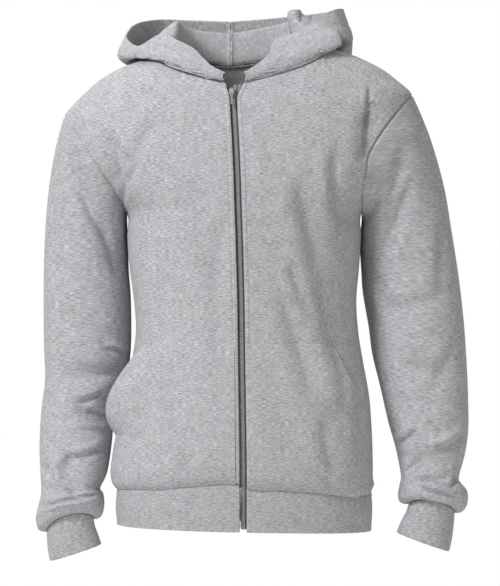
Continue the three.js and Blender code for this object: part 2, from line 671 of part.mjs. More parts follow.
// Patch pocket: the front's own points moved out, the slanted outer edge lifted as a gaping lip
function pocket(side) {
  const q = pockets[side];
  const sign = sides[side].sign;
  const panel = frontGrid(side);
  const top = panel.rows.findIndex((row) => row.z > q.topZ) - 1;
  const topRow = top + (q.topZ - panel.rows[top].z) / (panel.rows[top + 1].z - panel.rows[top].z);
  const rowsAt = [...range(top, (_, i) => i), topRow];
  const heightAt = (i) => {
    const low = Math.floor(i);
    const high = Math.min(low + 1, panel.rows.length - 1);
    return mix(panel.rows[low].z, panel.rows[high].z, i - low);
  };
  const onGrid = (grid, i, u) => {
    const row = Math.floor(i);
    const next = Math.min(row + 1, grid.length - 1);
    const along = Math.min(u * steps.across, steps.across - 1e-9);
    const column = Math.floor(along);
    const low = grid[row][column].clone().lerp(grid[row][column + 1], along - column);
    const high = grid[next][column].clone().lerp(grid[next][column + 1], along - column);
    return low.lerp(high, i - row);
  };
  const plain = Math.floor((q.topAngle / 90) * steps.across - 0.4);
  const columns = plain + pocketLip.steps;
  const place = (i, j) => {
    const z = heightAt(i);
    const t = clamp((z - q.lowZ) / (q.topZ - q.lowZ));
    const edge = mix(q.lowAngle, q.topAngle, t) / 90;
    const start = plain / steps.across;
    const onLip = mix(start, edge, (j - plain) / pocketLip.steps);
    const u = j <= plain ? Math.max(j / steps.across, pocketLip.edge) : onLip;
    const open = Math.sin(Math.PI * t ** pocketLip.widest) ** pocketLip.fullness;
    const lift = open * smooth((u - edge) / pocketLip.reach + 1);
    return { u, lift, stand: layGap + pocketLip.stand * smooth((u - start) * steps.across) };
  };
  const face = (thick) =>
    rowsAt.map((i) =>
      range(columns, (_, j) => {
        const { u, lift, stand } = place(i, j);
        const out = onGrid(panel.inward, i, u).normalize().negate();
        const point = onGrid(panel.outer, i, u).addScaledVector(out, stand + thick);
        return point.add(new THREE.Vector3(sign * q.out * lift, -q.forward * lift, 0));
      }),
    );
  return shell(face(pocketWall), face(0));
}

// Strip that follows the zip line: from and to are distances from it, depth is below the cloth's face
function zipStrip(from, to, depth, thick, lowZ, highZ, spread = () => 0) {
  const heights = sideRows("right", true).map((row) => middleZ("right", row.z, neckFrontZ));
  const between = heights.filter((z) => z < highZ - 3);
  const strip = (below) =>
    [lowZ, ...between, highZ].map((height) =>
      [0, 1].map((u) => {
        const z = Math.max(height, bottomZ);
        const x = mix(from, to, u) + spread(z, u);
        const sign = x < 0 ? -1 : 1;
        const angle = sign * angleAt(size("mid", z) + x, z, sign);
        const point = panelPoint(angle, z);
        if (height === lowZ) point.setZ(lowZ);
        const out = torsoNormal(angle, z);
        if (z === bottomZ) out.setZ(0).normalize();
        return point.addScaledVector(out, -below);
      }),
    );
  return shell(strip(depth), strip(depth + thick));
}

function zipTape(side) {
  const sign = sides[side].sign;
  const open = (z) => smooth((z - zipOpensZ) / (neckFrontZ - zipOpensZ));
  const far = side === "left" ? tape.shown : tape.hidden;
  const depth = bodyWall + 3 * layGap;
  const spread = (z, u) => (u === 0 ? sign * tape.spread * open(z) : 0);
  return zipStrip(sign * tape.inner, sign * far, depth, tapeWall, zipLowZ, neckFrontZ - 2, spread);
}

// Neck seam from the zip to the back's middle, on the cloth's middle layer
function neckSeam(side, s) {
  const q = sides[side];
  const front = s < neckFrontShare;
  const u = front ? s / neckFrontShare : (1 - s) / (1 - neckFrontShare);
  const z = mix(front ? neckFrontZ : neckBackZ, q.napeZ, Math.sin(u * half));
  const start = front ? angleAt(size("mid", z) + q.sign * zipEdge(side, z), z, q.sign) : 0;
  const angle = q.sign * (front ? mix(start, half, u) : Math.PI - u * half);
  const point = torsoOuter(angle, z).addScaledVector(torsoNormal(angle, z), -bodyWall / 2);
  const up = torsoBase(angle, z + 1).sub(torsoBase(angle, z)).normalize();
  return { point: point.addScaledVector(up, hoodLies.above), up };
}

function hood(side) {
  const q = sides[side];
  const named = (row) => Object.fromEntries(row.map((value, i) => [hoodColumns[i], value]));
  const rows = hoodTable[side].map(named);
  const names = ["roll", "fall", "foot", "side", "edge"];
  const middle = range(steps.hoodRound, (t) => {
    const s = mix(0.004, 1, t);
    const { point, up } = neckSeam(side, s);
    const bearing = THREE.MathUtils.degToRad(throughRows(rows, "s", "bearing", s));
    const out = new THREE.Vector3(q.sign * Math.sin(bearing), -Math.cos(bearing), 0);
    const place = (name) => {
      const far = throughRows(rows, "s", name + "Out", s);
      const high = throughRows(rows, "s", name + "Up", s);
      return point.clone().addScaledVector(out, far).setZ(point.z + high);
    };
    const knots = [point, ...names.map(place)];
    const reach = Math.min(knots[1].distanceTo(point) * hoodLies.straightShare, hoodLies.straight);
    knots.splice(1, 0, point.clone().addScaledVector(up, reach));
    const curve = new THREE.CatmullRomCurve3(knots, false, "centripetal");
    return range(steps.hoodAlong, (v) => {
      const p = curve.getPoint(v);
      const far = p.clone().sub(point).dot(out) - throughRows(rows, "s", "rollOut", s);
      if (v > 0 && far > hoodLies.past) clearOfTorso(p, hoodWall / 2 + hoodLies.clear);
      if (t === 1) p.x = torso[torso.length - 1].mid + (q.sign * seamGap) / 2;
      return p;
    });
  });
  const normals = gridNormals(middle, -q.sign);
  normals[steps.hoodRound].forEach((n) => n.setX(0).normalize());
  return shell(moved(middle, normals, hoodWall / 2), moved(middle, normals, -hoodWall / 2));
}

const wasm = await Module();
wasm.setup();

function solidOf(geometry) {
  const bare = geometry.index ? geometry.toNonIndexed() : geometry.clone();
  bare.deleteAttribute("normal");
  bare.deleteAttribute("uv");
  const merged = mergeVertices(bare, 1e-4);
  const mesh = new wasm.Mesh({
    numProp: 3,
    vertProperties: new Float32Array(merged.attributes.position.array),
    triVerts: new Uint32Array(merged.index.array),
  });
  return new wasm.Manifold(mesh);
}

function geometryOf(solid) {
  const mesh = solid.getMesh();
  const geometry = new THREE.BufferGeometry();
  geometry.setAttribute("position", new THREE.BufferAttribute(new Float32Array(mesh.vertProperties), 3));
  geometry.setIndex(new THREE.BufferAttribute(new Uint32Array(mesh.triVerts), 1));
  return geometry;
}

// Zip slider on the chain, with two lugs that hold the pin of the pull
const slider = {
  topZ: -47,
  bottomZ: -58.5,
  topHalf: 4.0,
  bottomHalf: 2.2,
  shoulder: 0.65, // share of its height at which it is widest
  topShare: 0.7, // width of its top edge, as a share of the widest
  proud: 2.2,
  seat: 0.35, // how far its back stands in front of the cloth's inner face
  lug: { wide: 1.0, deep: 5.2, high: 3.4, behind: 1.3 },
  pin: 0.6,
  pinZ: -51,
  pinProud: 4.6,
  aside: 1.7, // from the zip line, as the open edges pull it over
};
const pull = { wide: 3.0, eye: 1.7, neck: 0.9, bore: 0.95, long: 19, thick: 1.3, side: 0.35 };
const sliderX = size("mid", slider.bottomZ) + slider.aside;
const frontAt = (z) => torsoOuter(0.02, z).y;
const pinY = frontAt(slider.pinZ) - slider.pinProud;

function sliderBody() {
  const shoulderZ = mix(slider.bottomZ, slider.topZ, slider.shoulder);
  const outline = new THREE.Shape([
    new THREE.Vector2(-slider.bottomHalf, slider.bottomZ),
    new THREE.Vector2(slider.bottomHalf, slider.bottomZ),
    new THREE.Vector2(slider.topHalf, shoulderZ),
    new THREE.Vector2(slider.topHalf * slider.topShare, slider.topZ),
    new THREE.Vector2(-slider.topHalf * slider.topShare, slider.topZ),
    new THREE.Vector2(-slider.topHalf, shoulderZ),
  ]);
  const plate = new THREE.ExtrudeGeometry(outline, { depth: slider.proud + bodyWall, bevelEnabled: false });
  plate.rotateX(half);
  const slope = Math.atan2(frontAt(slider.topZ) - frontAt(slider.bottomZ), slider.topZ - slider.bottomZ);
  const middleZ = (slider.topZ + slider.bottomZ) / 2;
  plate.translate(0, 0, -middleZ).rotateX(-slope);
  plate.translate(sliderX, frontAt(middleZ) + bodyWall - slider.seat, middleZ);
  let body = solidOf(plate);
  const { lug } = slider;
  const lugAt = (pull.wide + lug.wide) / 2 + pull.side;
  for (const sign of [-1, 1]) {
    const plateLug = new THREE.BoxGeometry(lug.wide, lug.deep, lug.high);
    plateLug.translate(sliderX + sign * lugAt, pinY + lug.behind, slider.pinZ);
    body = body.add(solidOf(plateLug));
  }
  const pin = new THREE.CylinderGeometry(slider.pin, slider.pin, 2 * lugAt, 16).rotateZ(half);
  pin.translate(sliderX, pinY, slider.pinZ);
  return geometryOf(body.add(solidOf(pin)));
}

function pullTab() {
  const outline = new THREE.Shape();
  outline.absarc(0, 0, pull.eye, -pull.neck, Math.PI + pull.neck, false);
  outline.lineTo(-pull.thick / 2, -pull.long);
  outline.lineTo(pull.thick / 2, -pull.long);
  outline.closePath();
  const bore = new THREE.Path();
  bore.absarc(0, 0, pull.bore, 0, 2 * Math.PI, true);
  outline.holes.push(bore);
  const drawn = { depth: pull.wide, bevelEnabled: false, curveSegments: 16 };
  const tab = new THREE.ExtrudeGeometry(outline, drawn);
  const lean = Math.atan2(frontAt(slider.pinZ) - frontAt(slider.pinZ - pull.long), pull.long);
  tab.rotateX(half).rotateZ(half).rotateX(-lean).translate(sliderX - pull.wide / 2, pinY, slider.pinZ);
  return geometryOf(solidOf(tab));
}

const finishes = {
  fleece: { color: 0xb4b4b9, roughness: 0.95, metalness: 0 },
  rib: { color: 0xacacb2, roughness: 0.95, metalness: 0 },
  tape: { color: 0x77777c, roughness: 0.85, metalness: 0 },
  teeth: { color: 0x202124, roughness: 0.5, metalness: 0.4 },
  metal: { color: 0xc8c8cb, roughness: 0.3, metalness: 1 },
};

const hoodie = new THREE.Group();

function add(name, geometry, finish) {
  const mesh = new THREE.Mesh(geometry, new THREE.MeshStandardMaterial(finishes[finish]));
  mesh.name = name;
  hoodie.add(mesh);
}

for (const side of ["right", "left"]) {
  add("front_" + side, frontPanel(side), "fleece");
  add("sleeve_" + side, sleeve(side), "fleece");
  add("cuff_" + side, cuff(side), "rib");
  add("pocket_" + side, pocket(side), "fleece");
  add("hood_" + side, hood(side), "fleece");
  add("zip_tape_" + side, zipTape(side), "tape");
}
add("back", backPanel(), "fleece");
add("hem_band", hemBand(), "rib");
add("zip_chain", zipStrip(chain.from, chain.to, chain.deep, chain.thick, zipLowZ, chain.top), "teeth");
add("zip_slider", sliderBody(), "metal");
add("zip_pull", pullTab(), "metal");

export default hoodie;
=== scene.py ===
# Grey full-zip hoodie, worn shape, hood down: the cloth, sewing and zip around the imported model.
# Sizes are in millimetres until a mesh is made. The fronts face -Y and +X is the garment's left.
import math

import bpy
import numpy as np
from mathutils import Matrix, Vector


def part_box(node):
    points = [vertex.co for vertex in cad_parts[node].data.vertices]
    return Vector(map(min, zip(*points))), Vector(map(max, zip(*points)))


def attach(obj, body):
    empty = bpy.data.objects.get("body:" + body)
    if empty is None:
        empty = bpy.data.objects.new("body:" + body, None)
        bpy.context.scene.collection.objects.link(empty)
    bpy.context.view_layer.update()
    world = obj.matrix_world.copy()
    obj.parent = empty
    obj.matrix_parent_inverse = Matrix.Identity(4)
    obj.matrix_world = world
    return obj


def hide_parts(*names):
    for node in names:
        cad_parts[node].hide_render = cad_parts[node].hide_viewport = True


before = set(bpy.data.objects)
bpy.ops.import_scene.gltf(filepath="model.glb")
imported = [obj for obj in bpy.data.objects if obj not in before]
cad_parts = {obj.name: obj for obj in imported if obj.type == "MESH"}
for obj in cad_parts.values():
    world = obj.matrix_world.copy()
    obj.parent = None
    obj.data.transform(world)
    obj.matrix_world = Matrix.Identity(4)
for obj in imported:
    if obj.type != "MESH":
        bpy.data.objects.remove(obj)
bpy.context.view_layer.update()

pi = math.pi
mm = 0.001


# Numbers and tables

def smooth(t):
    # eased step: 3 t squared less 2 t cubed, between 0 and 1
    t = np.clip(t, 0.0, 1.0)
    return t * t * (3 - 2 * t)


def mix(a, b, t):
    return a + (b - a) * t


def power(value, exponent):
    return np.sign(value) * np.abs(value) ** exponent


def unit(v):
    return v / np.maximum(np.linalg.norm(v, axis=-1, keepdims=True), 1e-9)


def table(names, rows):
    return dict(zip(names.split(), np.array(rows, float).T))


def through(tab, key, column, at):
    # cubic steps through a table's rows, each slope taken from the row before and the row after
    t, p = tab[key], tab[column]
    slope = np.gradient(p)
    run = np.gradient(t)
    slope = slope / run
    at = np.asarray(at, float)
    i = np.clip(np.searchsorted(t, at, side="right") - 1, 0, len(t) - 2)
    h = t[i + 1] - t[i]
    u = (at - t[i]) / h
    return ((1 + 2 * u) * (1 - u) ** 2 * p[i] + u * (1 - u) ** 2 * h * slope[i]
            + u * u * (3 - 2 * u) * p[i + 1] + u * u * (u - 1) * h * slope[i + 1])


def wander(x, seed, reach):
    # smooth uneven wave from -1 to 1: three sines whose phases come from the seed
    total = 0.0
    for k, share in ((1.0, 0.5), (1.73, 0.3), (3.1, 0.2)):
        total = total + share * np.sin(2 * pi * k * x / reach + 2.4 * seed * k + seed)
    return total


# Body form, the same sizes as the solids

body = {
    "wall": 2.0,
    "crown": 2.3,
    "neckFrontZ": -38.0,
    "neckBackZ": -2.0,
    "neckFrontShare": 0.56,
    "yokeZ": -104.0,
    "edgeDrop": 3.2,  # how far a sewn edge sinks in
    "edgeReach": 1.9,
    "blouse": 1.6,  # how far the cloth stands over the hem band
    "rowStep": 3.4,
    "columnStep": 2.7,
}

torso = table("z mid right left front back", [
    (-611, -2.0, 172, 182, 113, 118),
    (-604, -2.0, 178, 185, 119, 124),
    (-590, -2.0, 181, 185, 124, 129),
    (-560, -2.2, 178, 185, 127, 130),
    (-520, -2.6, 171, 184, 128, 128),
    (-470, -3.2, 160, 181, 127, 124),
    (-420, -4.0, 150, 173, 126, 119),
    (-380, -4.4, 144, 167, 126, 116),
    (-336, -5.0, 146, 165, 127, 116),
    (-290, -6.2, 151, 170, 129, 120),
    (-246, -7.4, 153, 174, 131, 126),
    (-214, -8.6, 152, 176, 132, 130),
    (-180, -9.6, 186, 206, 130, 132),
    (-140, -11.2, 228, 236, 124, 130),
    (-105, -13.0, 240, 250, 117, 124),
    (-79, -14.5, 234, 256, 110, 117),
    (-49, -16.0, 206, 254, 101, 106),
    (-28, -16.5, 181, 232, 92, 97),
    (-12, -16.5, 153, 210, 84, 89),
    (4, -16.5, 107, 177, 76, 81),
    (12, -16.5, 80, 152, 72, 77),
    (26, -16.5, 56, 93, 66, 71),
])
bottomZ = torso["z"][0]

sides = {
    "right": {"sign": -1, "tipX": -248.5, "tipZ": -79.0, "pitX": -160.6, "pitZ": -214.0,
              "napeZ": 12.0, "bowFront": 2.0, "bowBack": 0.0},
    "left": {"sign": 1, "tipX": 238.0, "tipZ": -49.0, "pitX": 167.4, "pitZ": -214.0,
             "napeZ": 25.0, "bowFront": 22.0, "bowBack": 2.0},
}

zipLine = {
    "closed": {"right": 1.5, "left": 9.5},  # a front's edge from the zip line, zip shut
    "open": {"right": 6.0, "left": 18.5},  # the same at the neck
    "opensZ": -62.0,
    "lowZ": -648.0,
    "tapeShown": 21.0,
    "tapeHidden": 12.0,
    "tapeInner": 1.3,
    "tapeGroove": (8.3, 1.0, 2.4),  # where the tape dips beside the left front, how wide, how deep
    "tapeSpread": 4.0,
    "tapeDepth": 3.05,
    "tapeWall": 1.0,
}

hem = {
    "top": (-603.0, 7.5, -3.5),  # height of the seam, more at the front, more at the left
    "bottom": (-653.0, 1.5, -4.5),
    "drawnIn": 2.1,
    "proud": 3.0,
    "eased": 150.0,
    "wall": 2.2,
    "ribs": 400,
    "ribDeep": 0.16,
}
# uneven rise of the hem seam along the fronts, by the angle round the body in degrees
hemWaves = table("angle rise", [
    (-180, 0), (-95, 0), (-60, 1), (-40, 0.5), (-26, 3.5), (-8, 9), (-1, 9), (1, 2.5), (14, 2),
    (35, -1), (58, -5), (74, -4), (84, 4), (92, 5), (110, 0), (180, 0),
])

# Folds: two ends in the front or back view, half width and depth of the trough, the share of its
# depth that stands up beside it as a ridge, and how far its middle bows aside
foldNames = "x0 z0 x1 z1 width depth ridge bow"
frontFolds = table(foldNames, [
    (-182, -108, -170, -186, 12, 8, 0.0, 0),
    (176, -70, 170, -150, 16, 8, 0.0, 0),
    (78, -170, 104, -290, 15, 5.5, 0.5, 0),
    (104, -280, 146, -480, 17, 6, 0.45, 0),
    (58, -330, 100, -470, 16, 4.5, 0.4, 0),
    (-60, -170, -40, -330, 20, 3.4, 0.3, 0),
    (175, -40, 173, -90, 3.4, 4, 0.3, 0),
    (173.5, -74, 171, -136, 2.8, 6.5, 0.3, 1),
    (126, -130, 138, -236, 10, 4.2, 0.6, 3),
    (66, -280, 96, -362, 8, 2.8, 0.8, 3),
    (-165, -204, -173, -118, 5, 6, 0.4, 2),
    (-112, -90, -152, -160, 11, 3.2, 0.5, 6),
    (-138, -150, -166, -196, 6, 3.0, 0.6, 3),
    (-126, -250, -110, -400, 14, 3.0, 0.5, -8),
    (-24, -210, -30, -430, 13, 2.4, 0.5, 6),
    (-96, -420, -60, -560, 16, 3.2, 0.4, 6),
    (36, -96, 60, -190, 16, 1.6, 0.4, 5),
    (30, -420, 60, -560, 18, 1.8, 0.4, -6),
    (112, -500, 128, -580, 11, 3.2, 0.5, 4),
    (152, -420, 160, -560, 8, 3.0, 0.6, -4),
    (-60, -560, -90, -596, 9, 1.4, 0.5, 2),
    (90, -575, 130, -598, 8, 1.3, 0.5, 0),
    (-118, -40, -70, -64, 12, 1.6, 0.4, 4),
    (110, -46, 150, -70, 11, 1.8, 0.4, -4),
])
backFolds = table(foldNames, [
    (-150, -120, -128, -260, 13.6, 10.8, 0.4, 0),
    (158, -110, 132, -260, 13.6, 10.8, 0.4, 0),
    (-96, -300, 96, -372, 18.7, 8.1, 0.4, 0),
    (110, -300, -70, -430, 17, 6.8, 0.4, 0),
    (-120, -440, 60, -500, 17, 6.8, 0.4, 0),
    (-132, -350, 40, -410, 8.5, 4.1, 0.6, -8),
    (128, -390, -20, -470, 9.3, 3.8, 0.6, 7),
    (140, -500, 30, -560, 11, 4.3, 0.5, 6),
    (-150, -520, -40, -570, 10.2, 4.1, 0.5, -6),
    (-60, -120, -44, -250, 13.6, 3.2, 0.4, 5),
    (70, -130, 50, -250, 14.4, 3, 0.4, -5),
    (0, -150, 6, -300, 11.9, 2.4, 0.4, 6),
    (-118, -180, -96, -290, 7.6, 3.2, 0.6, 4),
    (124, -190, 100, -300, 7.6, 3.2, 0.6, -4),
    (-90, -560, -140, -598, 7.6, 2.2, 0.5, 3),
    (60, -570, 96, -600, 7.6, 1.9, 0.5, 3),
])


def size(column, z):
    return through(torso, "z", column, z)


def torsoBase(angle, z):
    # superellipse section: x is the half width times the sine's power, y the depth times the cosine's
    angle, z = np.broadcast_arrays(np.asarray(angle, float), np.asarray(z, float))
    s, c = np.sin(angle), np.cos(angle)
    wide = np.where(s < 0, size("right", z), size("left", z))
    deep = np.where(c > 0, -size("front", z), size("back", z))
    x = size("mid", z) + wide * power(s, 2 / body["crown"])
    return np.stack([x, deep * np.abs(c) ** (2 / body["crown"]), z], -1)


def angleAt(x, z, sign):
    # the angle at which a section reaches x: arc sine of the share of the half width, to the crown's half
    wide = size("right" if sign < 0 else "left", z)
    return np.arcsin(np.clip(sign * (x - size("mid", z)) / wide, 0, 1) ** (body["crown"] / 2))


def torsoNormal(angle, z):
    along = torsoBase(angle + 0.004, z) - torsoBase(angle - 0.004, z)
    up = torsoBase(angle, z + 0.8) - torsoBase(angle, z - 0.8)
    return unit(np.cross(along, up))


def foldDepth(folds, x, z):
    # bell-shaped trough across a bowed line, easing away at both ends, steeper on the side where a
    # lower ridge stands beside it: below a line drawn to the right, left of one drawn downwards
    total = np.zeros(np.broadcast(x, z).shape)
    for x0, z0, x1, z1, width, depth, ridge, bow in zip(*folds.values()):
        runX, runZ = x1 - x0, z1 - z0
        length = math.hypot(runX, runZ)
        t = ((x - x0) * runX + (z - z0) * runZ) / length ** 2
        off = ((x - x0) * runZ - (z - z0) * runX) / length - bow * 4 * t * (1 - t)
        ends = smooth((t + 0.12) / 0.35) * smooth((1.12 - t) / 0.35)
        trough = np.exp(-((off / (width * np.where(off > 0, 0.7, 1.15))) ** 2))
        beside = np.exp(-(((off - 1.7 * width) / (0.9 * width)) ** 2))
        total = total + depth * ends * (trough - ridge * beside)
    return total


def torsoOuter(angle, z):
    point = torsoBase(angle, z)
    facing = np.cos(angle) + 0 * point[..., 2]
    front = smooth((facing + 0.02) / 0.25)
    back = smooth((0.02 - facing) / 0.25)
    depth = front * foldDepth(frontFolds, point[..., 0], point[..., 2])
    depth = depth + back * foldDepth(backFolds, point[..., 0], point[..., 2])
    return point - torsoNormal(angle, z) * depth[..., None]


def tilted(level, angle):
    return level[0] + level[1] * np.cos(angle) + level[2] * np.sin(angle)


def hemTop(angle):
    turn = (np.degrees(angle) + 180) % 360 - 180
    return tilted(hem["top"], angle) + through(hemWaves, "angle", "rise", turn)


def panelPoint(angle, z):
    # the hem row rises to the tilted, waving hem seam, and the rows above it ease back
    share = smooth((bottomZ + hem["eased"] - z) / hem["eased"])
    point = torsoOuter(angle, z)
    point[..., 2] += (hemTop(angle) - bottomZ) * share
    return point


def armhole(side, turn):
    # turn 0 is the shoulder tip and half a circle the underarm, under 0 at the front
    q = sides[side]
    fall = (1 - np.cos(turn)) / 2
    z = mix(q["tipZ"], q["pitZ"], fall)
    bow = np.where(np.sin(turn) < 0, q["bowFront"], q["bowBack"])
    x = mix(q["tipX"], q["pitX"], fall) - q["sign"] * bow * 4 * fall * (1 - fall)
    angle = angleAt(x, z, q["sign"])
    return q["sign"] * np.where(np.sin(turn) < 0, angle, pi - angle), z


def zipEdge(side, z):
    lift = smooth((z - zipLine["opensZ"]) / (body["neckFrontZ"] - zipLine["opensZ"]))
    return mix(zipLine["closed"][side], zipLine["open"][side], lift)


def middleZ(side, z, neckZ):
    # height at the zip or the back's middle on the row that ends at height z at the side
    q = sides[side]
    low = mix(q["pitZ"], body["yokeZ"], (z - q["pitZ"]) / (q["tipZ"] - q["pitZ"]))
    high = mix(body["yokeZ"], neckZ, (z - q["tipZ"]) / (q["napeZ"] - q["tipZ"]))
    return np.where(z < q["pitZ"], z, np.where(z < q["tipZ"], low, high))


def gradedSteps(length, step, near=(0.0, 0.5, 1.1, 1.9, 3.0, 4.4)):
    # places from 0 to length, close together at both ends
    near = np.array(near)
    count = max(2, int(round((length - 2 * near[-1]) / step)))
    return np.concatenate([near, np.linspace(near[-1], length - near[-1], count + 1)[1:-1],
                           length - near[::-1]]) / length


def sideRows(side, rim):
    # rows of a panel by their outer ends: angle and height, up the side, the armhole, the shoulder
    q = sides[side]
    step = body["rowStep"]
    straight = q["sign"] * pi / 2
    if rim < 0 and q["sign"] < 0:
        straight = 3 * pi / 2
    low = mix(bottomZ, q["pitZ"], gradedSteps(q["pitZ"] - bottomZ, step)[:-6])
    turn = -rim * pi * np.delete(np.linspace(1, 0, 47), [-3, -2])
    seam, seamZ = armhole(side, turn)
    seam = np.where(seam < 0, seam + 2 * pi, seam) if rim < 0 else seam
    seam[0] = seam[-1] = straight
    high = mix(q["tipZ"], q["napeZ"], gradedSteps(130.0, step)[6:])
    angle = np.concatenate([low * 0 + straight, seam, high * 0 + straight])
    return angle, np.concatenate([low, seamZ, high])


def respaced(place, ways, shares):
    # moves a grid's columns so that they stand at the given shares of each row's true length
    points = panelPoint(*place(ways[None, :]))
    steps = np.linalg.norm(np.diff(points, axis=1), axis=-1)
    run = np.concatenate([np.zeros((len(steps), 1)), np.cumsum(steps, 1)], 1)
    run = run / run[:, -1:]
    return np.array([np.interp(shares, r, ways) for r in run])


def frontPlace(side):
    sign = sides[side]["sign"]
    edge, edgeZ = sideRows(side, 1)
    edge, edgeZ = edge[:, None], edgeZ[:, None]

    def place(u):
        zipZ = middleZ(side, edgeZ, body["neckFrontZ"])
        start = sign * angleAt(size("mid", zipZ) + sign * zipEdge(side, zipZ), zipZ, sign)
        angle = mix(start, edge, u)
        share = (np.sin(angle) - np.sin(start)) / (np.sin(edge) - np.sin(start))
        z = mix(zipZ, edgeZ, share)
        return angle, z

    return place, edgeZ


def backPlace():
    left, leftZ = sideRows("left", -1)
    right, rightZ = sideRows("right", -1)
    left, leftZ, right, rightZ = (a[:, None] for a in (left, leftZ, right, rightZ))

    def place(u):
        out = np.abs(1 - 2 * u)
        neckZ = body["neckBackZ"]
        middle = (middleZ("left", leftZ, neckZ) + middleZ("right", rightZ, neckZ)) / 2
        mine = np.where(u < 0.5, leftZ, rightZ)
        edge = np.where(u < 0.5, left, right)
        angle = mix(pi, edge, out)
        return angle, mix(middle, mine, np.sin(angle) / np.sin(edge))

    return place


# Cloth meshes

def gridNormals(grid, tube=False):
    # across the columns crossed with up the rows, each by central differences
    across = np.roll(grid, -1, 1) - np.roll(grid, 1, 1) if tube else np.gradient(grid, axis=1)
    return unit(np.cross(across, np.gradient(grid, axis=0)))


def runs(grid, axis):
    # distance along the rows or columns of a grid, from its first line
    steps = np.linalg.norm(np.diff(grid, axis=axis), axis=-1)
    pad = [(0, 0), (0, 0)]
    pad[axis] = (1, 0)
    return np.pad(np.cumsum(steps, axis), pad)


def clothMesh(name, outer, wall, tube=False, uv=None, flip=1, normals=None):
    # closed wall: the outer grid, an inner one a wall further in, and a rounded rim between their edges
    rows, columns = outer.shape[:2]
    if normals is None:
        normals = gridNormals(outer, tube) * flip
    inner = outer - normals * wall
    index = np.arange(rows * columns).reshape(rows, columns)
    around = np.concatenate([outer, outer[:, :1]], 1) if tube else outer
    wrap = np.concatenate([index, index[:, :1]], 1) if tube else index
    if uv is None:
        across = runs(around, 1)
        up = runs(around, 0).mean(1)[:, None] + 0 * across
        uv = np.stack([across - across.mean(1, keepdims=True), up], -1)
    place = np.arange(rows * wrap.shape[1]).reshape(rows, -1)

    def quads(grid):
        return np.stack([grid[:-1, :-1], grid[:-1, 1:], grid[1:, 1:], grid[1:, :-1]], -1).reshape(-1, 4)

    out = np.zeros_like(outer)
    out[0] += unit(outer[0] - outer[1])
    out[-1] += unit(outer[-1] - outer[-2])
    if tube:
        edges = [(wrap[0], place[0]), (wrap[-1, ::-1], place[-1, ::-1])]
    else:
        out[:, 0] += unit(outer[:, 0] - outer[:, 1])
        out[:, -1] += unit(outer[:, -1] - outer[:, -2])
        edges = [tuple(np.concatenate([g[0], g[1:, -1], g[-1, -2::-1], g[-2::-1, 0]]) for g in (wrap, place))]
    faces = [quads(wrap), quads(wrap)[:, ::-1] + rows * columns]
    faceUv = [quads(place), quads(place)[:, ::-1]]
    points = [outer.reshape(-1, 3), inner.reshape(-1, 3)]
    made = 2 * rows * columns
    for edge, edgeUv in edges:
        middle = (points[0][edge] + points[1][edge]) / 2 + unit(out.reshape(-1, 3)[edge]) * wall * 0.32
        points.append(middle[:-1])
        mid = made + np.append(np.arange(len(edge) - 1), 0)
        made += len(edge) - 1
        faces.append(np.stack([edge[1:], edge[:-1], mid[:-1], mid[1:]], -1))
        faces.append(np.stack([mid[1:], mid[:-1], edge[:-1] + rows * columns, edge[1:] + rows * columns], -1))
        ring = np.stack([edgeUv[1:], edgeUv[:-1], edgeUv[:-1], edgeUv[1:]], -1)
        faceUv += [ring, ring]
    faces, faceUv = np.concatenate(faces), np.concatenate(faceUv)
    if flip < 0:
        faces, faceUv = faces[:, ::-1], faceUv[:, ::-1]
    return meshPiece(name, np.concatenate(points), faces, uv.reshape(-1, 2)[faceUv])


def meshPiece(name, points, faces, uv=None):
    # points in millimetres; faces all with the same number of corners; uv in millimetres too
    mesh = bpy.data.meshes.new(name)
    corners = faces.shape[1]
    mesh.vertices.add(len(points))
    mesh.vertices.foreach_set("co", (points * mm).astype(np.float32).ravel())
    mesh.loops.add(faces.size)
    mesh.loops.foreach_set("vertex_index", faces.astype(np.int32).ravel())
    mesh.polygons.add(len(faces))
    mesh.polygons.foreach_set("loop_start", (np.arange(len(faces)) * corners).astype(np.int32))
    mesh.polygons.foreach_set("use_smooth", np.ones(len(faces), bool))
    if uv is not None:
        layer = mesh.uv_layers.new(name="cloth")
        layer.data.foreach_set("uv", (uv * mm).astype(np.float32).ravel())
    mesh.update(calc_edges=True)
    mesh.validate()
    piece = bpy.data.objects.new(name, mesh)
    bpy.context.scene.collection.objects.link(piece)
    return piece


def sunk(points, normals, depth):
    return points - normals * depth[..., None]


def nearLine(distance, at, width):
    return np.exp(-(((distance - at) / width) ** 2))


def threads(name, starts, ends, normals, radius):
    # each stitch is a capsule bent over the cloth: five rings of six points, closed at both tips
    along = np.linspace(0, 1, 5)[None, :, None, None]
    turn = np.linspace(0, 2 * pi, 7)[:-1][None, None, :, None]
    starts, ends, normals = (v[:, None, None, :] for v in (starts, ends, normals))
    way = unit(ends - starts)
    aside = np.cross(way, normals)
    thick = radius * np.sqrt(np.clip(1 - (1.94 * along - 0.97) ** 2, 0, 1)) + 0.02
    centre = starts + (ends - starts) * along + normals * radius * (1.5 * np.sin(pi * along) - 0.8)
    points = centre + thick * (np.cos(turn) * aside + np.sin(turn) * normals)
    count = len(points)
    ring = np.arange(30).reshape(5, 6)
    nextRing = np.roll(ring, -1, 1)
    sides = np.stack([ring[:-1], nextRing[:-1], nextRing[1:], ring[1:]], -1).reshape(-1, 4)
    tips = np.array([[0, 3, 2, 1], [0, 5, 4, 3], [24, 25, 26, 27], [24, 27, 28, 29]])
    faces = np.concatenate([sides, tips])[:, ::-1]
    faces = (faces[None] + np.arange(count)[:, None, None] * 30).reshape(-1, 4)
    return meshPiece(name, points.reshape(-1, 3), faces)


sewing = {
    "pitch": 3.1,
    "length": 2.3,
    "radius": 0.3,
    "groove": 0.55,
    "grooveWidth": 0.8,
    "pucker": 0.35,
}


